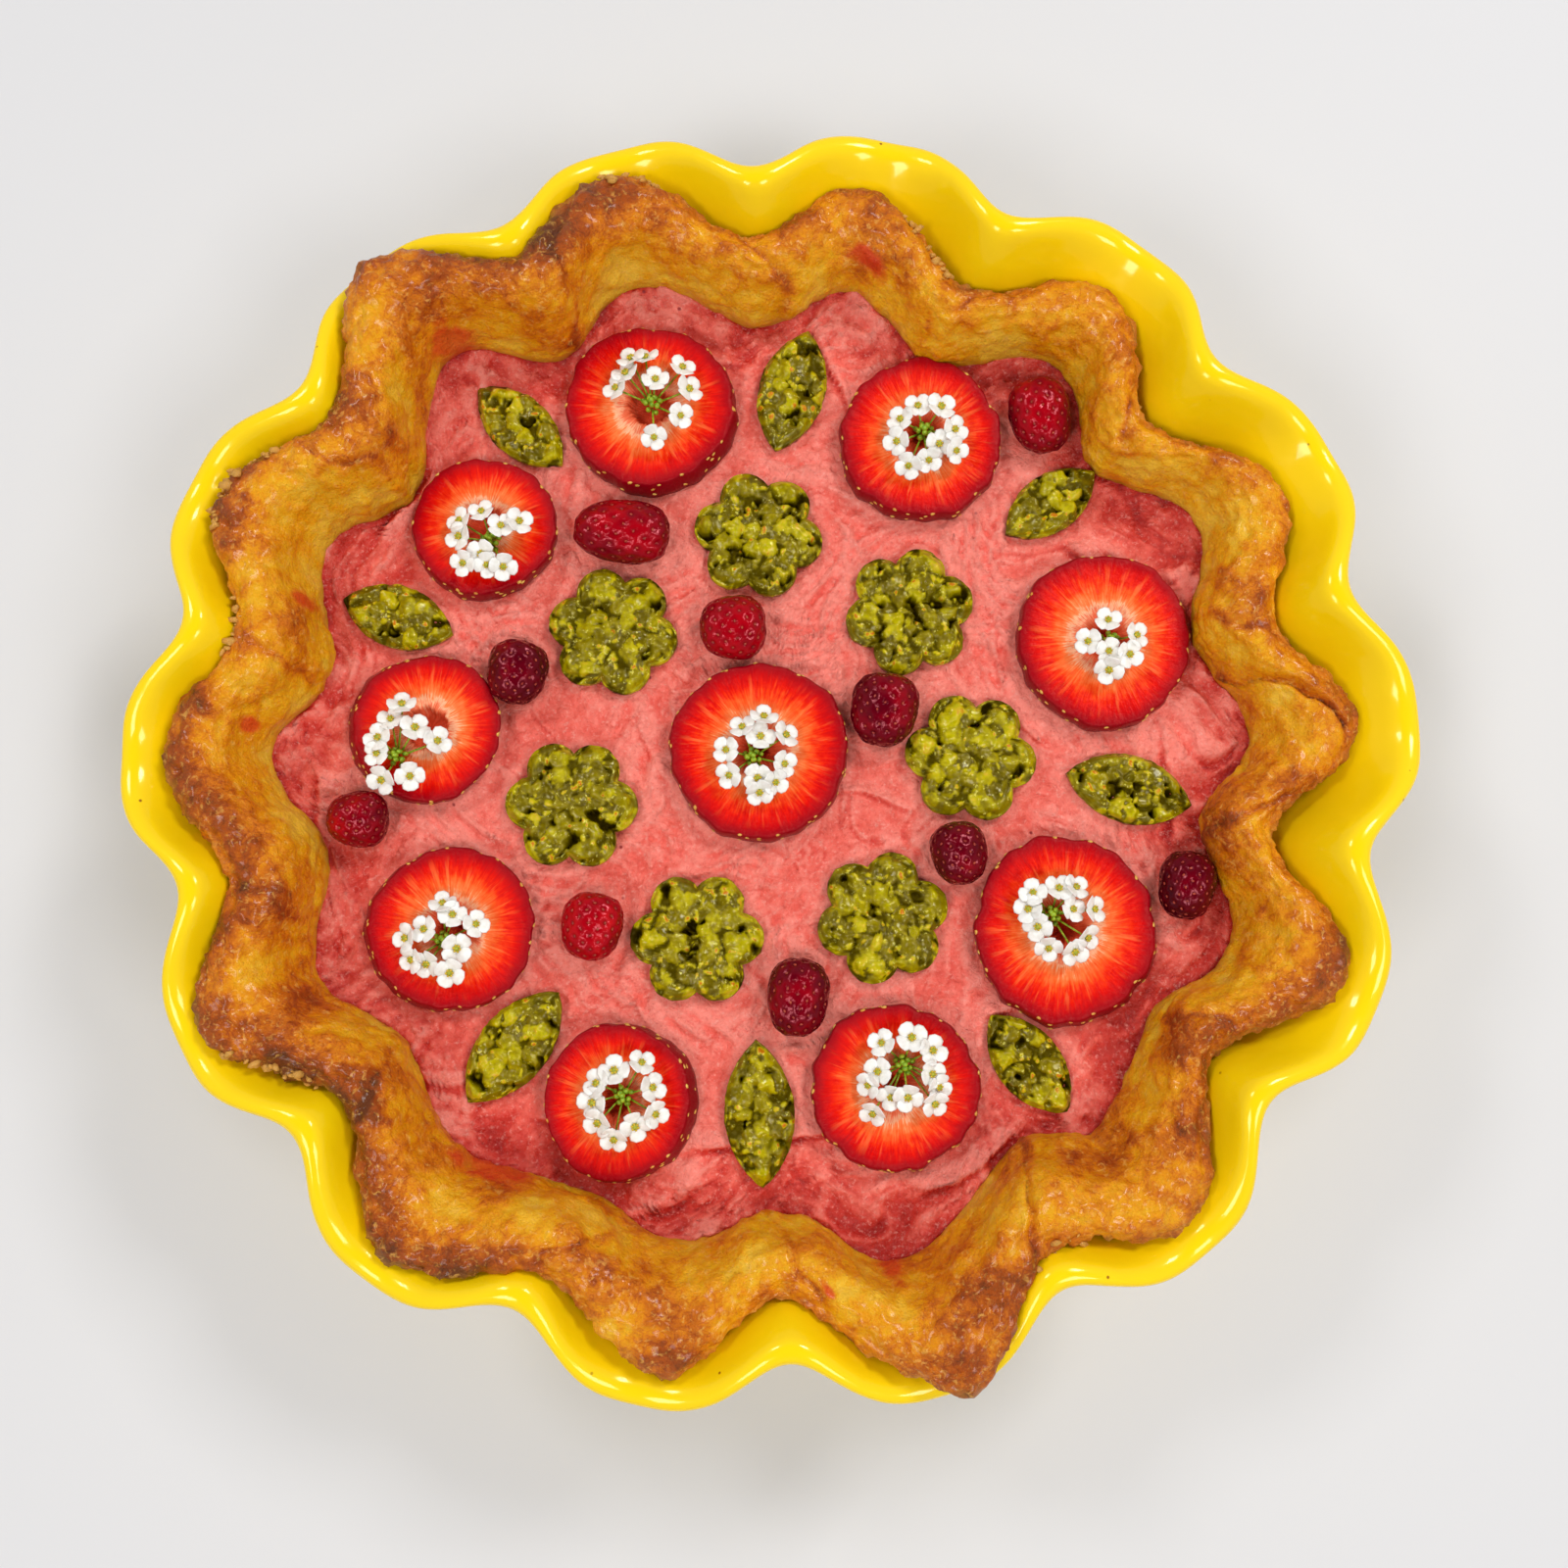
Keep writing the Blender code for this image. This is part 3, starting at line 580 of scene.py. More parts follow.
def berry_material():
    """Dark red whole berry, with painted shade making it darkest in its dimples."""
    finish = Finish("small_berry", Roughness=0.11, Specular_IOR_Level=0.5,
                    Specular_Tint=(1.0, 0.3, 0.35, 1.0))
    patch = finish.swing(finish.grain(6, 3), 0.2)
    # the tone value holds each berry's own red plus a painted lighter top
    tone = finish.math("ADD", finish.value("tone"), patch)
    colour = finish.ramp(tone, [
        (0.0, (58, 0, 12)), (0.35, (104, 0, 18)), (0.8, (172, 2, 18)),
        (1.0, (200, 18, 22))])
    # painted shade: darker in the dimples
    colour = finish.mix(finish.span(finish.value("dimple"), 0, 1, 0, 0.45), colour,
                        (52, 0, 10))
    return finish.set(Base_Color=colour, Normal=finish.bump(finish.grain(0.8, 3), 0.12))


def nut_material():
    """Chopped green nuts set in clear glaze."""
    finish = Finish("nut_glaze", Roughness=0.12, Coat_Roughness=0.06,
                    Specular_Tint=(1.0, 0.9, 0.25, 1.0))
    tone = finish.math("ADD", finish.value("nut"),
                       finish.swing(finish.grain(1.6, 4), 0.18))
    colour = finish.ramp(tone, [
        (0.0, (80, 66, 0)), (0.28, (114, 98, 0)), (0.55, (146, 130, 0)),
        (0.78, (186, 172, 0)), (0.92, (206, 176, 34)), (1.0, (196, 114, 6))])
    glint = finish.span(finish.grain(1.0, 2, 0.6), 0.64, 0.7, 0, 0.55)
    colour = finish.mix(glint, colour, (244, 236, 110))
    # painted shade: the gaps between chips are darkened, with less reflection there
    pit_shade = finish.value("pit_shade")
    colour = finish.mix(pit_shade, colour, (48, 36, 0))
    shards = finish.bump(finish.grain(1.6, 4, 0.6, 0.6), 0.3)
    return finish.set(Base_Color=colour, Normal=shards,
                      Coat_Weight=finish.span(pit_shade, 0, 0.6, 0.28, 0),
                      Specular_IOR_Level=finish.span(pit_shade, 0, 0.8, 0.42, 0.05))


def plain_finish(name, colour, shade, size, depth, **sockets):
    """A finish of two near colours with a fine grain."""
    finish = Finish(name, **sockets)
    tone = finish.ramp(finish.grain(size, 3), [(0.35, shade), (0.65, colour)])
    return finish.set(Base_Color=tone, Normal=finish.bump(finish.grain(size / 2), depth))


# Dish

def ruffle(angles):
    """How far the rim swings out, and up, at each angle."""
    turn = np.radians(LOBES * (angles - FIRST_CREST))
    out = RUFFLE_OUT * np.cos(turn) - RUFFLE_NARROW * np.cos(2 * turn)
    return out, -RUFFLE_DIP * np.cos(turn)


def dish_rows(rows, angles):
    """Radius and height of rows of the dish's section, with one column an angle."""
    radius, height = (np.array(rows, float)[:, [column]] for column in (0, 1))
    share = np.clip((height - RUFFLE_START) / (RIM_HEIGHT - RUFFLE_START), 0, 1) ** 2
    out, up = ruffle(angles)
    return np.stack([radius + out * share, height + up * share], axis=-1)


def dish_inner_radius(wall, height):
    """Radius of the dish's inner wall at heights, from its rows at each angle."""
    found = [np.interp(z, column[:, 1], column[:, 0])
             for z, column in zip(height, wall.transpose(1, 0, 2))]
    return np.array(found)


def make_dish(glaze):
    """The ruffled stoneware dish with a rounded lip and a bare foot."""
    angles = FIRST_CREST + 360 * np.arange(DISH_STEPS) / DISH_STEPS
    rows = DISH_FOOT + DISH_OUTSIDE + DISH_LIP + DISH_INSIDE + DISH_FLOOR
    section = rounded(dish_rows(rows, angles), 2)
    points = turned(section[..., 0], section[..., 1], angles)
    uneven = rough(points, 24, 2) * GLAZE_UNEVEN
    points += normals_of(points) * uneven[..., None] * (section[..., 1:] > 4)
    height = section[..., 1]
    trough = -np.cos(np.radians(LOBES * (angles - FIRST_CREST)))
    lip_height = RIM_HEIGHT + RUFFLE_DIP * trough
    lip = smooth((height - lip_height - 0.6) / 2.0) * 0.8
    # painted fill light: grows from the lip down the inner wall
    painted_fill_light = smooth((lip_height - height - 2) / 30) * np.ones_like(height)
    clay = smooth((1.2 - height) / 1.0) * np.ones_like(height)
    bm = sheet_mesh(points, {"lip": lip, "painted_fill_light": painted_fill_light, "clay": clay})
    return finish_piece("dish_glazed", bm, [glaze], ["dish"])


# Crust

def crust_inner_edge(angles, wall):
    """Radius and height of the roll's inner edge, and the height of the cream there."""
    pockets = [(a, r, z, z - CREAM_BELOW_POCKET) for a, r, z in CRUST_POCKETS]
    bulges = [(a, r, BULGE_HEIGHT, CREAM_UNDER_BULGE) for a, r in CRUST_BULGES]
    rows = pockets + bulges
    radius, height, cream = (eased(rows, column, angles) for column in (1, 2, 3))
    radius = radius + 0.9 * rough(turned(radius, 0 * radius, angles), 9, 3, salt=80)
    limit = dish_inner_radius(wall, cream) - CRUST_GAP - CRUST_THINNEST
    return np.minimum(radius, limit), height, cream


def dish_wall(angles):
    """The dish's inner wall from floor to lip, with one column an angle."""
    return dish_rows([*DISH_INSIDE[::-1], (125.6, 64.0)], angles)


def crust_section(angles):
    """Rows of the crust from the middle of its underside over the roll to its floor.

    Each row holds a radius, a height, how far it is baked and how crumbly it is.
    """
    wall = dish_wall(angles)
    lip_height = wall[-1, :, 1] + LIP_CLEAR
    edge_rows = CRUST_LOBES + CRUST_TROUGHS
    edge_r, edge_z, dark = (eased(edge_rows, column, angles) for column in (1, 2, 3))
    inner_r, inner_z, cream_z = crust_inner_edge(angles, wall)
    width = edge_r - inner_r
    crown = edge_z + ROLL_RISE
    floor_r, floor_z = wall[0, :, 0], wall[0, :, 1]
    rows = [(0, floor_z + UNDER_GAP, 0.2, 0), (floor_r - CRUST_GAP, floor_z + UNDER_GAP, 0.2, 0)]
    for row in (1, 2, 3):
        rows.append((wall[row, :, 0] - CRUST_GAP, wall[row, :, 1] + UNDER_GAP, 0.25, 0))
    upper = [
        (edge_r - 1.6, np.minimum(edge_z - 6.0, wall[4, :, 1] + UNDER_GAP), 0.35, 0.8),
        (edge_r + 0.4, edge_z - 3.0, 0.55 + 0.2 * dark, 0.9),
        (edge_r + 0.3, edge_z + 0.6, 0.1 + 0.7 * dark, 0.35),
        (edge_r - 1.6, edge_z + 2.4, 0.06 + 0.68 * dark, 0),
        (edge_r - 0.28 * width, crown + 0.3, 0.02 + 0.62 * dark, 0),
        (edge_r - 0.52 * width, crown, 0.02 + 0.48 * dark, 0),
        (edge_r - 0.76 * width, crown - 3.6, 0.06 + 0.3 * dark, 0),
        (edge_r - 0.93 * width, (crown + 2 * inner_z) / 3 - 0.6, 0.06 + 0.2 * dark, 0)]
    for radius, height, bake, crumb in upper:
        inner_wall = dish_inner_radius(wall, height - CRUST_GAP) - CRUST_GAP
        limit = inner_wall + np.maximum(height - lip_height, 0) * LIP_REACH
        rows.append((np.minimum(radius, limit), height, bake, crumb))
    lining_r = wall[2, :, 0] - CRUST_GAP - CRUST_WALL
    rows += [
        (inner_r, inner_z, 0.1 + 0.1 * dark, 0), (inner_r + OVERHANG, cream_z, 0.08, 0),
        (lining_r, wall[2, :, 1], 0.1, 0),
        (floor_r - CRUST_WALL, floor_z + CRUST_FLOOR, 0.1, 0), (0, floor_z + CRUST_FLOOR, 0.1, 0)]
    return np.array([np.stack([value + 0 * edge_r for value in row], axis=-1) for row in rows])


# Rows of the crust's section that are in sight, and so are finely rounded
SEEN_ROWS = slice(4, 15)
# Cream smears on the crust: angle, share of the way in, length in degrees
SMEARS = [(79, 0.78, 3.0), (163, 0.9, 1.2), (178, 0.8, 1.0), (283, 0.95, 1.6),
          (276, 0.4, 0.8), (128, 0.96, 3.0), (236, 0.97, 6.0)]
# Creases where the pastry folds: angle, depth, slant across the roll
CREASES = [(4.5, 2.8, 1.0), (14, 0.8, 0.6), (42, 0.9, -0.6), (68, 1.0, 0.6), (91, 1.2, -0.7),
           (113, 1.1, 0.5), (146, 1.0, -0.5), (170, 1.0, 0.4), (197, 1.4, 0.6), (222, 1.1, -0.8),
           (249, 1.4, 0.8), (273, 1.4, -0.6), (298, 1.8, 0.9), (327, 1.0, -0.5), (352, 1.4, -1.0)]
# Crumbs broken off the edge: angle, spread in degrees, how many
CRUMBS = [(73, 3.5, 40), (104, 3.0, 20), (154, 5.0, 60), (168, 3.0, 30), (214, 4.0, 26),
          (299, 3.0, 12)]


def make_crust(pastry):
    """The baked shell: lumps, blisters, flaky edges and a rolled ruffle. Gives its surface."""
    angles = 360 * np.arange(CRUST_STEPS) / CRUST_STEPS
    section = crust_section(angles)
    fine = rounded(section[SEEN_ROWS], 3)
    section = np.concatenate([section[:SEEN_ROWS.start], fine, section[SEEN_ROWS.stop:]])
    points = turned(section[..., 0], section[..., 1], angles)
    bake, crumb = section[..., 2], section[..., 3]
    inner_r, _, cream_z = crust_inner_edge(angles, dish_wall(angles))
    shown = smooth((section[..., 1] - cream_z - 0.3) / 5)
    lumps = rough(points, 20, 2) * 1.5 + rough(points, 8, 2, salt=7) * 0.55
    wrinkles = 1 - 2 * np.abs(rough(points, 3.6, 2, salt=29))
    leathery = 0.25 + 0.75 * smooth((bake - 0.4) * 3)
    blisters = rough(points, 3.0, 2, salt=37)
    lumps = lumps + 0.55 * blisters
    flakes = rough(points, 2.6, 3, stretch=(1, 1, 0.5), salt=3) * (0.2 + 1.3 * crumb)
    raised = (lumps + 0.55 * wrinkles * leathery + flakes) * shown
    points += normals_of(points) * raised[..., None]
    bake = bake + 0.3 * rough(points, 15, 3, salt=11) + 0.05 * lumps + 0.1 * blisters - 0.02
    soak = smooth((cream_z + 5 - section[..., 1]) / 5) * (0.7 + 0.6 * rough(points, 9, 2, salt=70))
    crumb = np.clip(crumb * (0.65 + 0.9 * rough(points, 3.0, 2, salt=5)), 0, 1)
    edge = points[..., 2]
    smear = np.zeros_like(edge)
    radial = np.hypot(points[..., 0], points[..., 1])
    outer_r = eased(CRUST_LOBES + CRUST_TROUGHS, 1, angles)
    inward = (outer_r - radial) / (outer_r - inner_r)
    for angle, share, length in SMEARS:
        away = turn_between(angle, angles) / length
        spot = np.exp(-away ** 2 - ((inward - share) / 0.1) ** 2)
        smear = np.maximum(smear, spot * (edge > 46))
    for angle, depth, slant in CREASES:
        line = angle + slant * 9 * (inward - 0.5) + 2.5 * rough(points, 14, 2, salt=60)
        away = np.radians(turn_between(line, angles)) * radial
        fold = np.exp(-(away / 1.3) ** 2) * smooth((inward - 0.05) * 4) * shown
        points[..., 2] -= depth * fold * (edge > 44)
        step = np.exp(-np.abs(away) / 3.5) * (away > 0) * smooth((inward - 0.05) * 4) * shown
        points[..., 2] += 0.35 * depth * step * (edge > 44)
        # painted shade: each crease is darkened by adding to how baked it is
        bake = bake + 0.22 * fold
    bm = sheet_mesh(points, {"bake": bake, "crumb": crumb, "smear": smear, "soak": soak})
    surface = BVHTree.FromBMesh(bm)
    finish_piece("crust_baked", bm, [pastry], ["crust"])
    return surface


def make_crumbs(pastry, surface):
    """Crumbs and flakes caught along the broken outer edge."""
    draw = random.Random(41)
    bm = bmesh.new()
    bm.verts.layers.float.new("crumb")
    crumb = bmesh.new()
    bmesh.ops.create_icosphere(crumb, subdivisions=1, radius=1.0)
    pale = crumb.verts.layers.float.new("crumb")
    for vert in crumb.verts:
        vert.co *= draw.uniform(0.6, 1.25)
        vert[pale] = 1.0
    for middle, spread, count in CRUMBS:
        for _ in range(count):
            angle = middle + draw.uniform(-spread, spread)
            edge_r, edge_z = (float(eased(CRUST_LOBES + CRUST_TROUGHS, column, angle))
                              for column in (1, 2))
            near = polar(edge_r + draw.gauss(-0.6, 0.8), angle, edge_z + draw.uniform(-1.5, 2.6))
            size = 0.35 + 1.1 * draw.random() ** 2
            touch, normal, _, _ = surface.find_nearest(near)
            spot = touch + 0.35 * size * normal
            turn = Matrix.Rotation(draw.uniform(0, math.tau), 4, Vector(draw.choice(
                [(1, 0, 0.5), (0, 1, 0.4), (0.5, 0.5, 1)])))
            form = Matrix.Diagonal((size * 1.3, size * draw.uniform(0.5, 1.1), size * 0.6, 1))
            add_mesh(bm, crumb, Matrix.Translation(spot) @ turn @ form)
    crumb.free()
    return finish_piece("crust_crumbs", bm, [pastry])


# Cream

def toppings():
    """Middle and half sizes of every topping that stands on the cream."""
    found = []
    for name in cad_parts:
        if name.startswith(("strawberry_slice", "small_berry", "nut_")):
            x, y, _, size = node_place(name)
            found.append((x, y, size.x / 2, size.y / 2))
    return found


def squeeze(x, y):
    """How much the cream swells just outside each topping."""
    swell = np.zeros_like(x)
    for cx, cy, half_x, half_y in toppings():
        away = np.hypot((x - cx) / half_x, (y - cy) / half_y)
        distance = (away - 1) * (half_x + half_y) / 2
        swell = np.maximum(swell, np.exp(-(distance / 1.8) ** 2) * (distance > -3))
    return swell


# Long ridges in the cream: start, end, rise (falling steeply to the right of the run), width
KNIFE_RIDGES = [
    ((64, 50), (90, 26), 1.6, 3.0), ((72, 48), (92, 38), 1.0, 2.2),
    ((86, 8), (88, -22), 1.2, 2.4), ((-20, -84), (28, -80), 1.6, 3.0),
    ((-52, -78), (-22, -88), 1.2, 2.6), ((30, -94), (52, -80), 1.3, 2.6),
    ((-98, -2), (-100, -36), 1.1, 2.4), ((-74, 64), (-88, 46), 1.4, 2.6),
    ((-46, 92), (-6, 90), 1.3, 2.6), ((10, 94), (22, 70), 1.2, 2.0),
    ((8, -6), (34, -14), 0.7, 2.0), ((-66, -56), (-84, -40), 0.9, 2.0),
    ((50, 12), (60, 2), 0.8, 1.8), ((-30, 8), (-22, -8), 0.6, 1.8),
    ((44, -58), (62, -48), 0.9, 2.2)]


def stroke(points, heading, size, salt):
    """Sparse crests that a palette knife leaves along a heading."""
    turn = math.radians(heading)
    along = points[..., 0] * math.cos(turn) + points[..., 1] * math.sin(turn)
    across = -points[..., 0] * math.sin(turn) + points[..., 1] * math.cos(turn)
    dragged = np.stack([along / 3.2, across, np.zeros_like(along)], axis=-1)
    crest = 1 - 2.4 * np.abs(rough(dragged, size, 3, salt=salt))
    return np.clip((crest - 0.3) / 0.7, 0, 1) ** 1.4


def make_cream(cream):
    """The spread cream: swells, knife strokes, a curled edge at the crust."""
    angles = 360 * np.arange(CREAM_STEPS) / CREAM_STEPS
    wall = dish_wall(angles)
    inner_r, _, cream_z = crust_inner_edge(angles, wall)
    edge_r = inner_r + OVERHANG + 0.6
    side_r, side_z = np.array(CREAM_SIDE, float).T[..., None] * np.ones_like(edge_r)
    share = np.linspace(1, 0, CREAM_RINGS)[:, None] ** 0.92
    radius = np.concatenate([side_r, share * edge_r])
    flat = CREAM_TOP * np.ones((CREAM_RINGS, CREAM_STEPS))
    inward = (1 - share) * edge_r
    rise = cream_z - CREAM_TOP + 0.4
    flat += rise * np.exp(-(inward / (2.4 + 0.65 * rise)) ** 1.3)
    height = np.concatenate([side_z, flat])
    points = turned(radius, height, angles)
    top = points[len(CREAM_SIDE):]
    plane = top * np.array([1, 1, 0])
    bend = np.stack([rough(plane, 30, 2, salt=2), rough(plane, 30, 2, salt=9)], axis=-1)
    warped = plane.copy()
    warped[..., :2] += 14 * bend
    masks = [smooth(rough(plane, 34, 1, salt=20 + k) * 2 + 0.5) for k in range(3)]
    grains = rough(plane, 3.4, 4, salt=50)
    broad = 0.6 * rough(plane, 22, 3)
    relief = broad + 0.3 * grains - 0.25
    for mask, heading, salt in zip(masks, (35, 100, 160), (4, 14, 24)):
        relief = relief + 1.1 * mask * stroke(warped, heading, 10.0, salt)
        relief = relief + 0.6 * mask * stroke(warped, heading + 20, 4.5, salt + 2)
    near_crust = smooth((top[..., 0] ** 2 + top[..., 1] ** 2) ** 0.5 / edge_r * 6 - 4.7)
    curl = stroke(warped, 60, 8.0, 40) * 1.2 + rough(plane, 8, 3, salt=31)
    relief = relief + 0.7 * near_crust * curl
    fold = rough(warped, 17, 3, salt=61)
    folded = smooth(rough(plane, 21, 2, salt=64) * 2 + 0.55 + 0.4 * near_crust)
    crest = np.clip(1 - np.abs(fold - 0.05) / 0.1, 0, 1) * folded
    hollow = np.clip(1 - np.abs(fold + 0.08) / 0.1, 0, 1) * folded
    relief = relief + 0.5 * crest - 0.15 * hollow
    foot = np.zeros_like(relief)
    for (x0, y0), (x1, y1), rise, width in KNIFE_RIDGES:
        run = np.array((x1 - x0, y1 - y0))
        offset = top[..., :2] + 1.5 * bend - np.array((x0, y0))
        along = np.clip((offset @ run) / (run @ run), 0, 1)
        away = (offset[..., 0] * run[1] - offset[..., 1] * run[0]) / np.linalg.norm(run)
        away = away + 3.0 * np.sin(math.pi * along) * bend[..., 0]
        gap = np.linalg.norm(offset - along[..., None] * run, axis=-1)
        steep = np.exp(-np.clip(away, 0, 9) / (0.3 * width)) * (away >= 0)
        gentle = np.exp(-np.clip(-away, 0, 9) / width) * (away < 0)
        ends = smooth(np.minimum(along, 1 - along) * 6) * (gap < 4 * width)
        relief = relief + 1.6 * rise * (steep + gentle) * ends
        foot += rise * np.exp(-((away / width - 0.4) * 3.0) ** 2) * ends
    swell = squeeze(top[..., 0], top[..., 1])
    relief = relief * (1 - 0.6 * swell) + 0.45 * swell
    last = smooth(inward / 1.2)
    top[..., 2] += relief * last
    # painted shadow: a dark band in the gap where the cream meets the crust
    gap = np.exp(-(inward / 1.5) ** 2) * smooth(0.6 + 1.2 * rough(plane, 12, 2, salt=90))
    sunny = smooth(0.5 + (top[..., 1] - top[..., 0]) / 160)
    # Painted shade and painted highlight, kept as deep: darker near the crust (less on the upper
    # left, where painted light falls), at the feet of knife ridges, in fold hollows and a little
    # towards +Y, and lighter on crests and raised relief.
    shade = 0.25 + (0.48 - 0.22 * sunny) * near_crust + 0.5 * foot + 0.6 * gap
    shade -= 0.05 * broad + 0.31 * (relief - broad)
    shade += 0.04 * smooth(top[..., 1] / 80) + 0.19 * hollow - 0.06 * crest
    bm = sheet_mesh(points, {"deep": np.concatenate([0 * side_z, shade])})
    return finish_piece("cream_spread", bm, [cream], ["filling"])


# Strawberries

def seed_shape(length, width, thick):
    """One pale seed of a strawberry."""
    bm = bmesh.new()
    bmesh.ops.create_icosphere(bm, subdivisions=1, radius=1.0)
    for vert in bm.verts:
        vert.co.y *= 1 - 0.35 * vert.co.x
    bmesh.ops.scale(bm, vec=(length / 2, width / 2, thick / 2), verts=bm.verts)
    return bm


def slice_outline(index, columns, size):
    """Radii of a slice's wavy outline."""
    draw = random.Random(100 + index)
    turn = np.linspace(0, math.tau, columns, endpoint=False)
    half_x, half_y = size.x / 2, size.y / 2
    radius = half_x * half_y / np.hypot(half_y * np.cos(turn), half_x * np.sin(turn))
    for waves, depth in ((3, 0.014), (5, 0.010)):
        radius = radius * (1 + depth * np.sin(waves * turn + draw.uniform(0, math.tau)))
    for waves in (9, 14, 21):
        depth = draw.uniform(0.004, 0.008) * (1.7 if index in SCALLOPED else 1.0)
        radius = radius * (1 + depth * np.sin(waves * turn + draw.uniform(0, math.tau)))
    return turn, radius


def make_slice(index, flesh, seed_finish):
    """A cross slice: cut face with a core, rounded rim and a dimpled skin with seeds."""
    node = f"strawberry_slice_{index + 1:02d}"
    x, y, base, size = node_place(node)
    shift_x, shift_y, hollow = SLICE_FACES[index]
    draw = random.Random(700 + index)
    turn, radius = slice_outline(index, SLICE_COLUMNS, size)
    thick = size.z
    face = [(SLICE_RIM * share, 1.0, share) for share in np.linspace(0.99, 0, SLICE_RINGS)]
    rows = np.array(SLICE_FLANK + face)
    reach = rows[:, 2:3] * np.ones(SLICE_COLUMNS)
    shift = smooth((rows[:, 1:2] - 0.1) / 0.9)
    px = x + shift * shift_x + rows[:, 0:1] * radius * np.cos(turn)
    py = y + shift * shift_y + rows[:, 0:1] * radius * np.sin(turn)
    pz = base + thick * rows[:, 1:2] * np.ones(SLICE_COLUMNS)
    points = np.stack([px, py, pz], axis=-1)
    on_face = smooth((0.99 - reach) / 0.1)
    spoke = np.stack([5 * np.cos(turn), 5 * np.sin(turn), 0 * turn + index * 9.1], axis=-1)
    ridge = rough(spoke * np.ones_like(points), 1.0, 2)
    core = smooth((hollow + 0.04 * ridge - reach) / 0.08)
    points[..., 2] += on_face * (0.12 * ridge * smooth((reach - 0.3) * 3) - 0.25 * (1 - reach ** 2))
    points[..., 2] -= core * (1.0 + 8 * hollow)
    points[..., 2] += 0.22 * rough(points, 6, 2, salt=index) * on_face
    skin = smooth((reach - 1.0) * 6) * (pz > base + 0.5)
    points += normals_of(points) * (0.16 * rough(points, 3.0, 2) * skin)[..., None]
    rings = np.stack([reach * np.cos(turn), reach * np.sin(turn)], axis=-1)
    bm = sheet_mesh(points, {"reach": reach}, rings)
    seed = seed_shape(1.25, 0.75, 0.6)
    normals = normals_of(points)
    for row, count in SEED_ROWS:
        start = draw.uniform(0, 1)
        for step in range(count):
            place = (step + start + draw.uniform(-0.42, 0.42)) / count
            column = int(place * SLICE_COLUMNS) % SLICE_COLUMNS
            normal = Vector(normals[row, column])
            spot = Vector(points[row, column]) - normal * 0.12
            matrix = Matrix.Translation(spot) @ facing(normal, draw.uniform(-0.4, 0.4))
            add_mesh(bm, seed, matrix @ Matrix.Scale(draw.uniform(0.8, 1.1), 4), 1)
    seed.free()
    return finish_piece(node + "_cut", bm, [flesh, seed_finish], [node])


def golden_points(count):
    """Evenly spread directions on a sphere."""
    found = []
    for step in range(count):
        height = 1 - 2 * (step + 0.5) / count
        turn = step * math.pi * (3 - math.sqrt(5))
        ring = math.sqrt(1 - height * height)
        found.append(Vector((height, ring * math.cos(turn), ring * math.sin(turn))))
    return found


def make_berry(index, flesh, seed_finish):
    """A small whole berry on its side, dimpled under every seed."""
    node = f"small_berry_{index + 1:02d}"
    x, y, base, size = node_place(node)
    long_way, short_way, turn, tone = BERRY_LOOKS[index]
    draw = random.Random(800 + index)
    spots = golden_points(116)
    bm = bmesh.new()
    bmesh.ops.create_uvsphere(bm, u_segments=112, v_segments=76, radius=1.0)
    bmesh.ops.rotate(bm, verts=bm.verts, matrix=Matrix.Rotation(math.radians(90), 3, "Y"))
    dimple = bm.verts.layers.float.new("dimple")
    light = bm.verts.layers.float.new("tone")
    seat = Matrix.Rotation(math.radians(turn), 4, "Z")

    def body(way):
        """Point of the berry's skin in a direction, before its dimples."""
        blunt = 1 + 0.1 * way.x
        around = math.hypot(way.y, way.z)
        full = (abs(way.x) ** 2.5 + around ** 2.5) ** -0.4
        return full * Vector((way.x * long_way / 2, way.y * blunt * short_way / 2,
                              way.z * blunt * size.z / 2))

    ways = np.array([vert.co.normalized() for vert in bm.verts])
    uneven = rough(ways + 3 * index, 0.4, 2)
    nearest = 2 - 2 * (ways @ np.array(spots).T).max(axis=1)
    dips = np.exp(-nearest / 0.0085)
    for vert, bump, dip in zip(bm.verts, uneven.tolist(), dips.tolist()):
        way = vert.co.normalized()
        vert.co = body(way) * (1.005 + 0.03 * bump - 0.055 * dip)
        vert[dimple] = dip
        # painted light: the top of the berry is made lighter, on top of its own tone
        vert[light] = tone + 0.25 * way.z
    seed = seed_shape(0.85, 0.55, 0.45)
    for spot in spots:
        normal = Vector((spot.x / long_way, spot.y / short_way, spot.z / size.z)).normalized()
        place = body(spot) * 0.958
        matrix = Matrix.Translation(place) @ facing(normal, draw.uniform(-0.5, 0.5))
        add_mesh(bm, seed, matrix, 1)
    seed.free()
    bmesh.ops.transform(bm, matrix=Matrix.Translation((x, y, base + size.z / 2)) @ seat,
                        verts=bm.verts)
    return finish_piece(node + "_whole", bm, [flesh, seed_finish], [node])


# Nut cut-outs

def flower_radii(turn):
    """Radii of the six-lobed flower."""
    away = np.mod(turn + LOBE_HALF, 2 * LOBE_HALF) - LOBE_HALF
    round_off = np.sqrt(LOBE_RADIUS ** 2 - (LOBE_CENTRE * np.sin(away)) ** 2)
    return LOBE_CENTRE * np.cos(away) + round_off


def leaf_radii(turn, length, width):
    """Radii of the pointed leaf, bounded by two equal arcs."""
    half_l, half_w = length / 2, width / 2
    arc = (half_l ** 2 + half_w ** 2) / (2 * half_w)
    drop = arc - half_w
    sine = np.abs(np.sin(turn))
    return -drop * sine + np.sqrt(np.maximum(arc ** 2 - drop ** 2 * (1 - sine ** 2), 0))


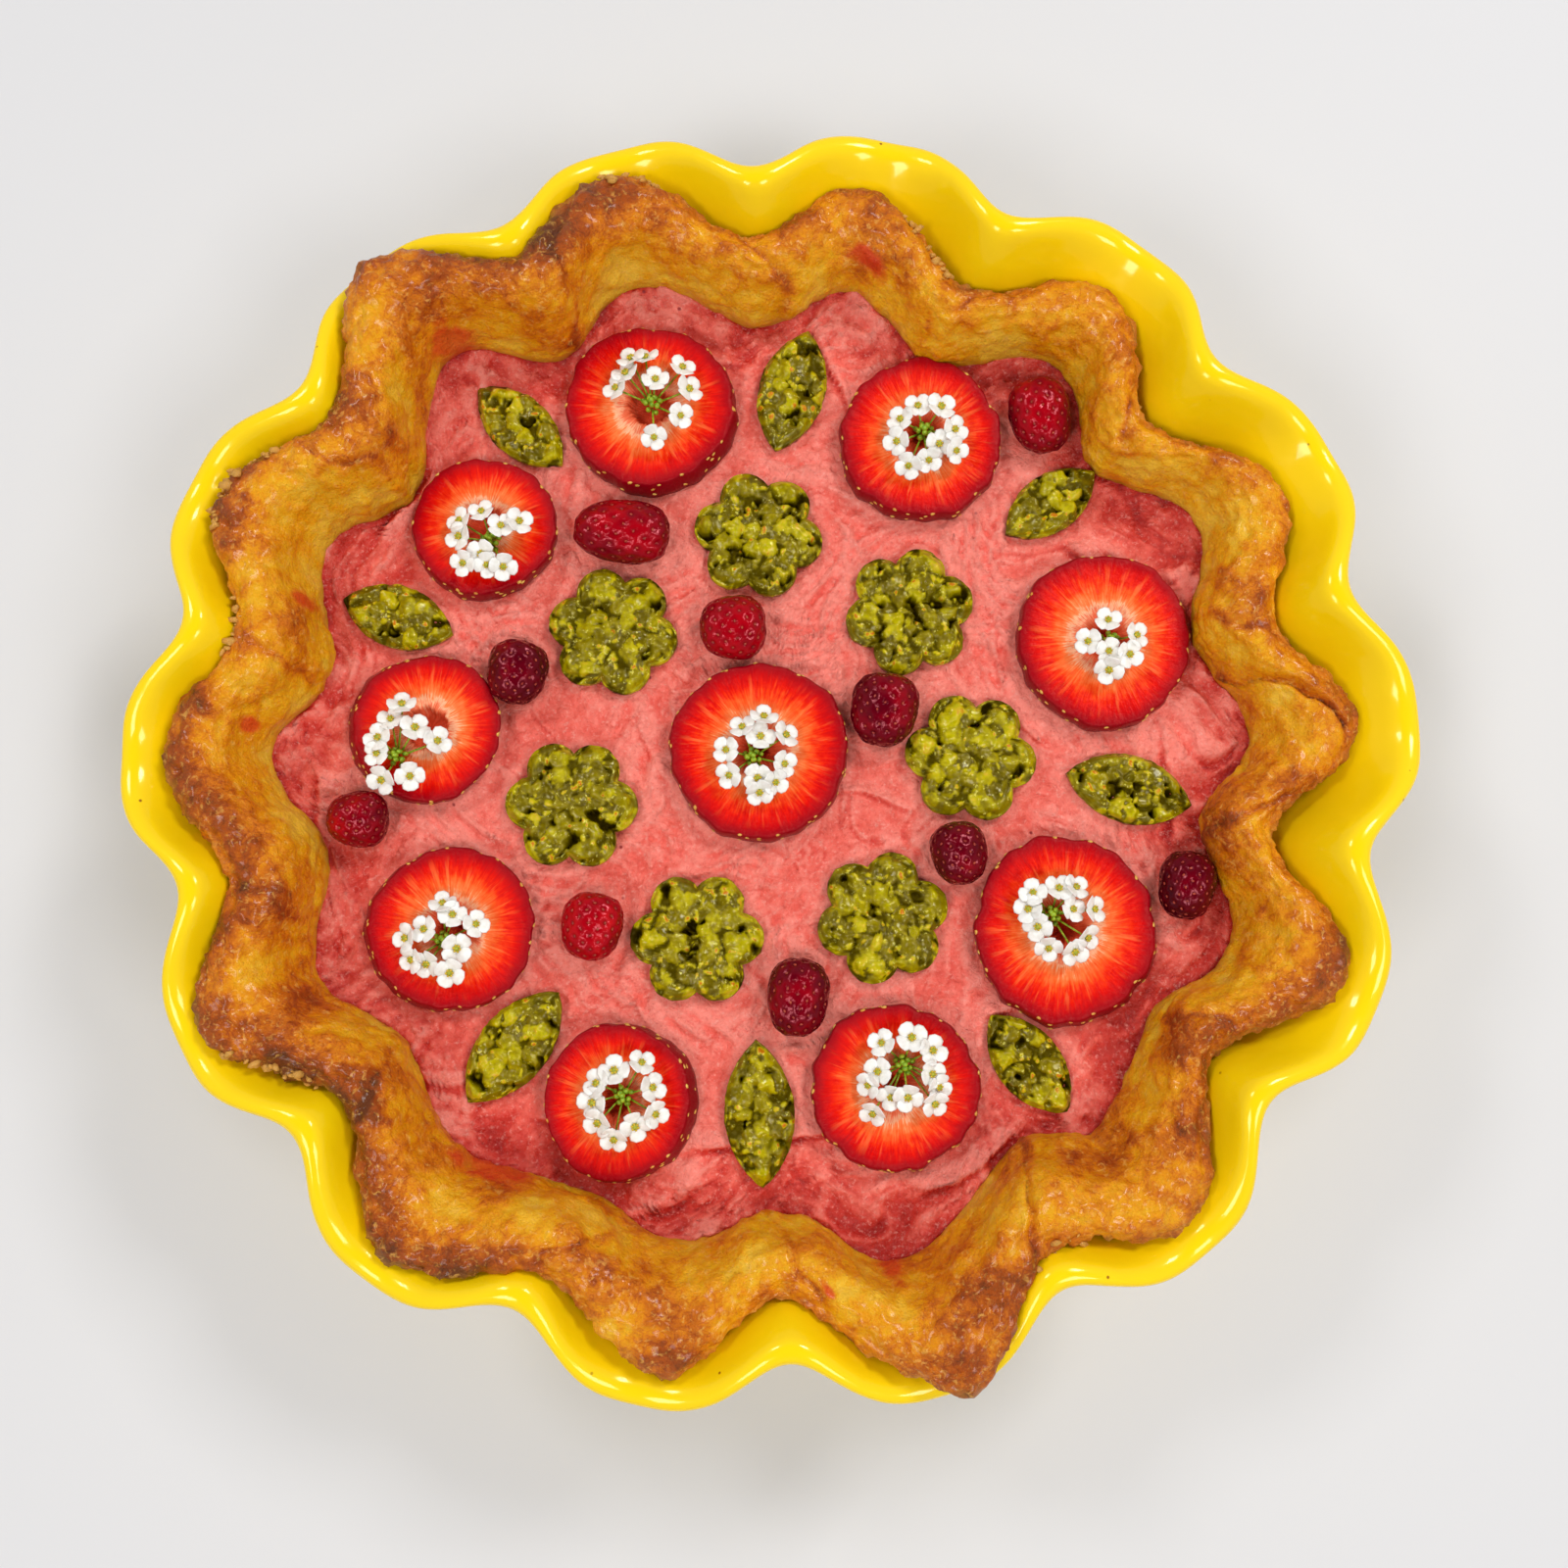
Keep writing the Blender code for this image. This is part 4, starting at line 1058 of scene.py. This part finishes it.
def make_cutout(node, radii, turn_degrees, nuts):
    """A cut-out of chopped nuts: chips of two sizes sunk in glaze, with painted shade in the gaps.
    """
    x, y, base, size = node_place(node)
    turn = np.linspace(0, math.tau, NUT_COLUMNS, endpoint=False)
    radius = radii(turn)
    seat = np.degrees(turn) + turn_degrees
    shares = np.linspace(1, 0, NUT_RINGS)
    face = [(0.975 * s, 0.62 + 0.3 * min(1.0, (1 - s) * 7) ** 0.6) for s in shares]
    rows = np.array(CUTOUT_SIDE + face)
    level = size.z * rows[:, 1:] * np.ones(NUT_COLUMNS)
    points = turned(rows[:, :1] * radius, level, seat) + np.array((x, y, base))
    flat = points.copy()
    flat[..., 2] *= 0.6
    flat += 0.8 * np.stack([rough(flat, 3.5, 2, salt=k) for k in (1, 5, 9)], axis=-1)
    near, label = pebbles(flat, 3.3)
    near_small, label_small = pebbles(flat, 1.6, salt=3)
    big = np.sqrt(np.clip(1 - (near / 0.7) ** 2, 0, 1)) * (0.4 + 0.75 * label)
    small = np.sqrt(np.clip(1 - (near_small / 0.5) ** 2, 0, 1)) * (0.35 + 0.65 * label_small)
    lump = np.maximum(big, 0.62 * small + 0.3 * big)
    swirl = rough(flat, 3.4, 2, salt=23)
    hole = smooth((rough(flat, 4.2, 2, salt=17) - 0.42) * 6) * smooth(1.1 - 1.2 * lump)
    raised = 1.5 * lump - 0.7 + 0.5 * swirl - 1.9 * hole
    face_share = np.array([0.0] * len(CUTOUT_SIDE) + [min(1.0, (1 - s) * 9) for s in shares])
    points[..., 2] += raised * face_share[:, None]
    points[..., 2] = np.maximum(points[..., 2], base)
    outer = 0.22 * rough(points, 2.2, 2, salt=4) * (rows[:, 1:2] > 0.1)
    points += turned(outer, 0 * outer, seat)
    chosen = np.where(0.62 * small + 0.3 * big > big, 0.45 + 0.6 * label_small, 0.8 * label)
    nut = chosen * smooth(1.5 * lump) + 0.3 * (1 - smooth(1.5 * lump))
    # painted shade: holes and low places between the chips are darkened
    pit_shade = np.clip(1.2 * hole + 0.75 * smooth((0.34 - lump) * 3), 0, 1)
    bm = sheet_mesh(points, {"nut": nut, "pit_shade": pit_shade})
    return finish_piece(node + "_glazed", bm, [nuts], [node])


# White flower sprigs

def petal_shape():
    """One petal, round and slightly cupped, from its claw at the origin along +X."""
    bm = bmesh.new()
    bmesh.ops.create_uvsphere(bm, u_segments=10, v_segments=6, radius=1.0)
    for vert in bm.verts:
        along = (vert.co.x + 1) / 2
        side = vert.co.y * (0.75 + 0.6 * along) * 1.45
        vert.co = (along * 2.75 + 0.15, side,
                   vert.co.z * 0.14 + 0.5 * along * along - 0.1 * side * side)
    return bm


def floret_shape():
    """A four-petalled flower with its yellow green middle, opening along +Z."""
    bm = bmesh.new()
    petal = petal_shape()
    for step in range(4):
        lift = Matrix.Rotation(math.radians(-6 - 5 * (step % 2)), 4, "Y")
        add_mesh(bm, petal, Matrix.Rotation(math.radians(90 * step), 4, "Z") @ lift, 0)
    petal.free()
    bead = bmesh.new()
    bmesh.ops.create_icosphere(bead, subdivisions=1, radius=0.42)
    add_mesh(bm, bead, Matrix.Translation((0, 0, 0.42)) @ Matrix.Scale(1.5, 4), 1)
    for step in range(6):
        place = Matrix.Translation(polar(0.55, 60 * step, 0.62))
        add_mesh(bm, bead, place @ Matrix.Scale(0.62, 4), 2)
    bead.free()
    cup = bmesh.new()
    bmesh.ops.create_cone(cup, segments=8, radius1=0.2, radius2=0.62, depth=1.1, cap_ends=True)
    add_mesh(bm, cup, Matrix.Translation((0, 0, -0.4)), 3)
    cup.free()
    return bm


def make_sprig(index, petals):
    """A sprig of small white flowers round a cluster of green buds, on thin stems."""
    node = f"flower_sprig_{index + 1:02d}"
    _, _, base, size = node_place(node)
    hub_xy, *flowers = SPRIGS[index]
    draw = random.Random(900 + index)
    hub = Vector((*hub_xy, base + 0.5))
    bm = bmesh.new()
    floret = floret_shape()
    for spot in flowers:
        away = Vector(spot) - Vector(hub_xy)
        distance = away.length
        heading = math.degrees(math.atan2(away.y, away.x))
        height = base + 4.0 - 0.1 * distance + draw.uniform(-0.4, 0.5)
        lean = min(4 + 3.6 * distance, 42) + draw.uniform(-8, 8)
        head = Vector((*spot, height))
        seat = (Matrix.Translation(head) @ Matrix.Rotation(math.radians(heading), 4, "Z")
                @ Matrix.Rotation(math.radians(lean), 4, "Y")
                @ Matrix.Rotation(draw.uniform(0, math.tau), 4, "Z"))
        add_mesh(bm, floret, seat @ Matrix.Scale(draw.uniform(1.06, 1.24), 4))
        start = hub + Vector((away.x * 0.12, away.y * 0.12, 0.3))
        foot = seat @ Vector((0, 0, -0.8))
        stem(bm, start, foot, 0.24)
    floret.free()
    bud = bmesh.new()
    bmesh.ops.create_icosphere(bud, subdivisions=2, radius=0.72)
    for step in range(BUDS):
        away = polar(0.55 * math.sqrt(step) * 1.15, GOLDEN_ANGLE * step)
        place = Vector((hub.x + away.x, hub.y + away.y, base + 3.3 - 0.28 * step + 0.1))
        scale = Matrix.Diagonal((draw.uniform(0.75, 1.1), draw.uniform(0.75, 1.0), 1.1, 1))
        add_mesh(bm, bud, Matrix.Translation(place) @ scale, 3)
    bud.free()
    stem(bm, hub + Vector((0, 0, 2.0)), Vector((hub.x, hub.y, base - 0.4)), 0.42)
    return finish_piece(node + "_florets", bm, petals, [node])


def stem(bm, start, end, thick):
    """A thin green stem between two points."""
    rod = bmesh.new()
    length = (end - start).length
    bmesh.ops.create_cone(rod, segments=6, radius1=thick, radius2=thick * 0.8, depth=length,
                          cap_ends=True)
    middle = (start + end) / 2
    add_mesh(bm, rod, Matrix.Translation(middle) @ facing((end - start).normalized()), 3)
    rod.free()


# Floor, lights and camera

def make_stage():
    """Plain pale floor, soft lights and the camera."""
    bm = bmesh.new()
    bmesh.ops.create_grid(bm, x_segments=1, y_segments=1, size=FLOOR_SIZE)
    mesh = bpy.data.meshes.new("floor")
    bm.to_mesh(mesh)
    bm.free()
    floor = bpy.data.objects.new("floor", mesh)
    bpy.context.scene.collection.objects.link(floor)
    pale = Finish("pale_floor", Roughness=0.6, Base_Color=srgb(219, 218, 219))
    mesh.materials.append(pale.material)
    world = bpy.data.worlds.new("soft_room")
    world.use_nodes = True
    tree = world.node_tree
    tree.nodes["Background"].inputs["Color"].default_value = (1.0, 1.0, 1.0, 1.0)
    way = tree.nodes.new("ShaderNodeTexCoord").outputs["Generated"]
    split = tree.nodes.new("ShaderNodeSeparateXYZ")
    fade = tree.nodes.new("ShaderNodeMapRange")
    tree.links.new(way, split.inputs["Vector"])
    tree.links.new(split.outputs["Z"], fade.inputs["Value"])
    tree.links.new(fade.outputs["Result"], tree.nodes["Background"].inputs["Strength"])
    limits = {"From Min": 0.7, "From Max": 0.93, "To Min": 0.42, "To Max": 0.08}
    for socket, value in limits.items():
        fade.inputs[socket].default_value = value
    bpy.context.scene.world = world
    bpy.context.scene.view_settings.view_transform = "Standard"
    for lamp in LAMPS:
        add_light(*lamp)
    view = bpy.data.cameras.new("view")
    view.sensor_width = 36.0
    view.angle = math.radians(CAMERA_ANGLE)
    camera = bpy.data.objects.new("view", view)
    camera.location = CAMERA_PLACE
    camera.rotation_euler = [math.radians(turn) for turn in CAMERA_TURN]
    bpy.context.scene.collection.objects.link(camera)
    bpy.context.scene.camera = camera


def add_light(name, place, size, power):
    """A soft square light that looks at the tart."""
    light = bpy.data.lights.new(name, "AREA")
    light.size = size
    light.energy = power
    lamp = bpy.data.objects.new(name, light)
    lamp.location = place
    lamp.rotation_euler = (-Vector(place)).to_track_quat("-Z", "Y").to_euler()
    bpy.context.scene.collection.objects.link(lamp)


def build():
    """Makes every piece."""
    make_stage()
    make_dish(glaze_material())
    pastry = crust_material()
    make_crumbs(pastry, make_crust(pastry))
    make_cream(cream_material())
    flesh = slice_material()
    seeds = plain_finish("seeds", (238, 196, 92), (206, 140, 40), 0.8, 0.05,
                         Roughness=0.35)
    for index in range(len(SLICE_FACES)):
        make_slice(index, flesh, seeds)
    berry = berry_material()
    berry_seeds = plain_finish("berry_seeds", (184, 74, 44), (136, 22, 20), 0.8, 0.05,
                               Roughness=0.35)
    for index in range(len(BERRY_LOOKS)):
        make_berry(index, berry, berry_seeds)
    nuts = nut_material()
    for index, turn in enumerate(FLOWER_TURNS):
        make_cutout(f"nut_flower_{index + 1:02d}", flower_radii, turn, nuts)
    for index, (length, width, turn) in enumerate(LEAF_SHAPES):
        def radii(angle, length=length, width=width):
            return leaf_radii(angle, length, width)
        make_cutout(f"nut_leaf_{index + 1:02d}", radii, turn, nuts)
    petals = [
        plain_finish("petal_white", (250, 250, 246), (236, 234, 226), 1.2, 0.05,
                     Roughness=0.55, Subsurface_Weight=0.2,
                     Subsurface_Radius=(0.001, 0.001, 0.001), Subsurface_Scale=0.5),
        plain_finish("floret_middle", (176, 176, 40), (140, 150, 30), 0.5, 0.03,
                     Roughness=0.5),
        plain_finish("floret_anther", (220, 190, 40), (190, 150, 30), 0.4, 0.03,
                     Roughness=0.6),
        plain_finish("bud_green", (168, 196, 40), (104, 150, 20), 0.8, 0.04,
                     Roughness=0.4)]
    for index in range(len(SPRIGS)):
        make_sprig(index, petals)


build()
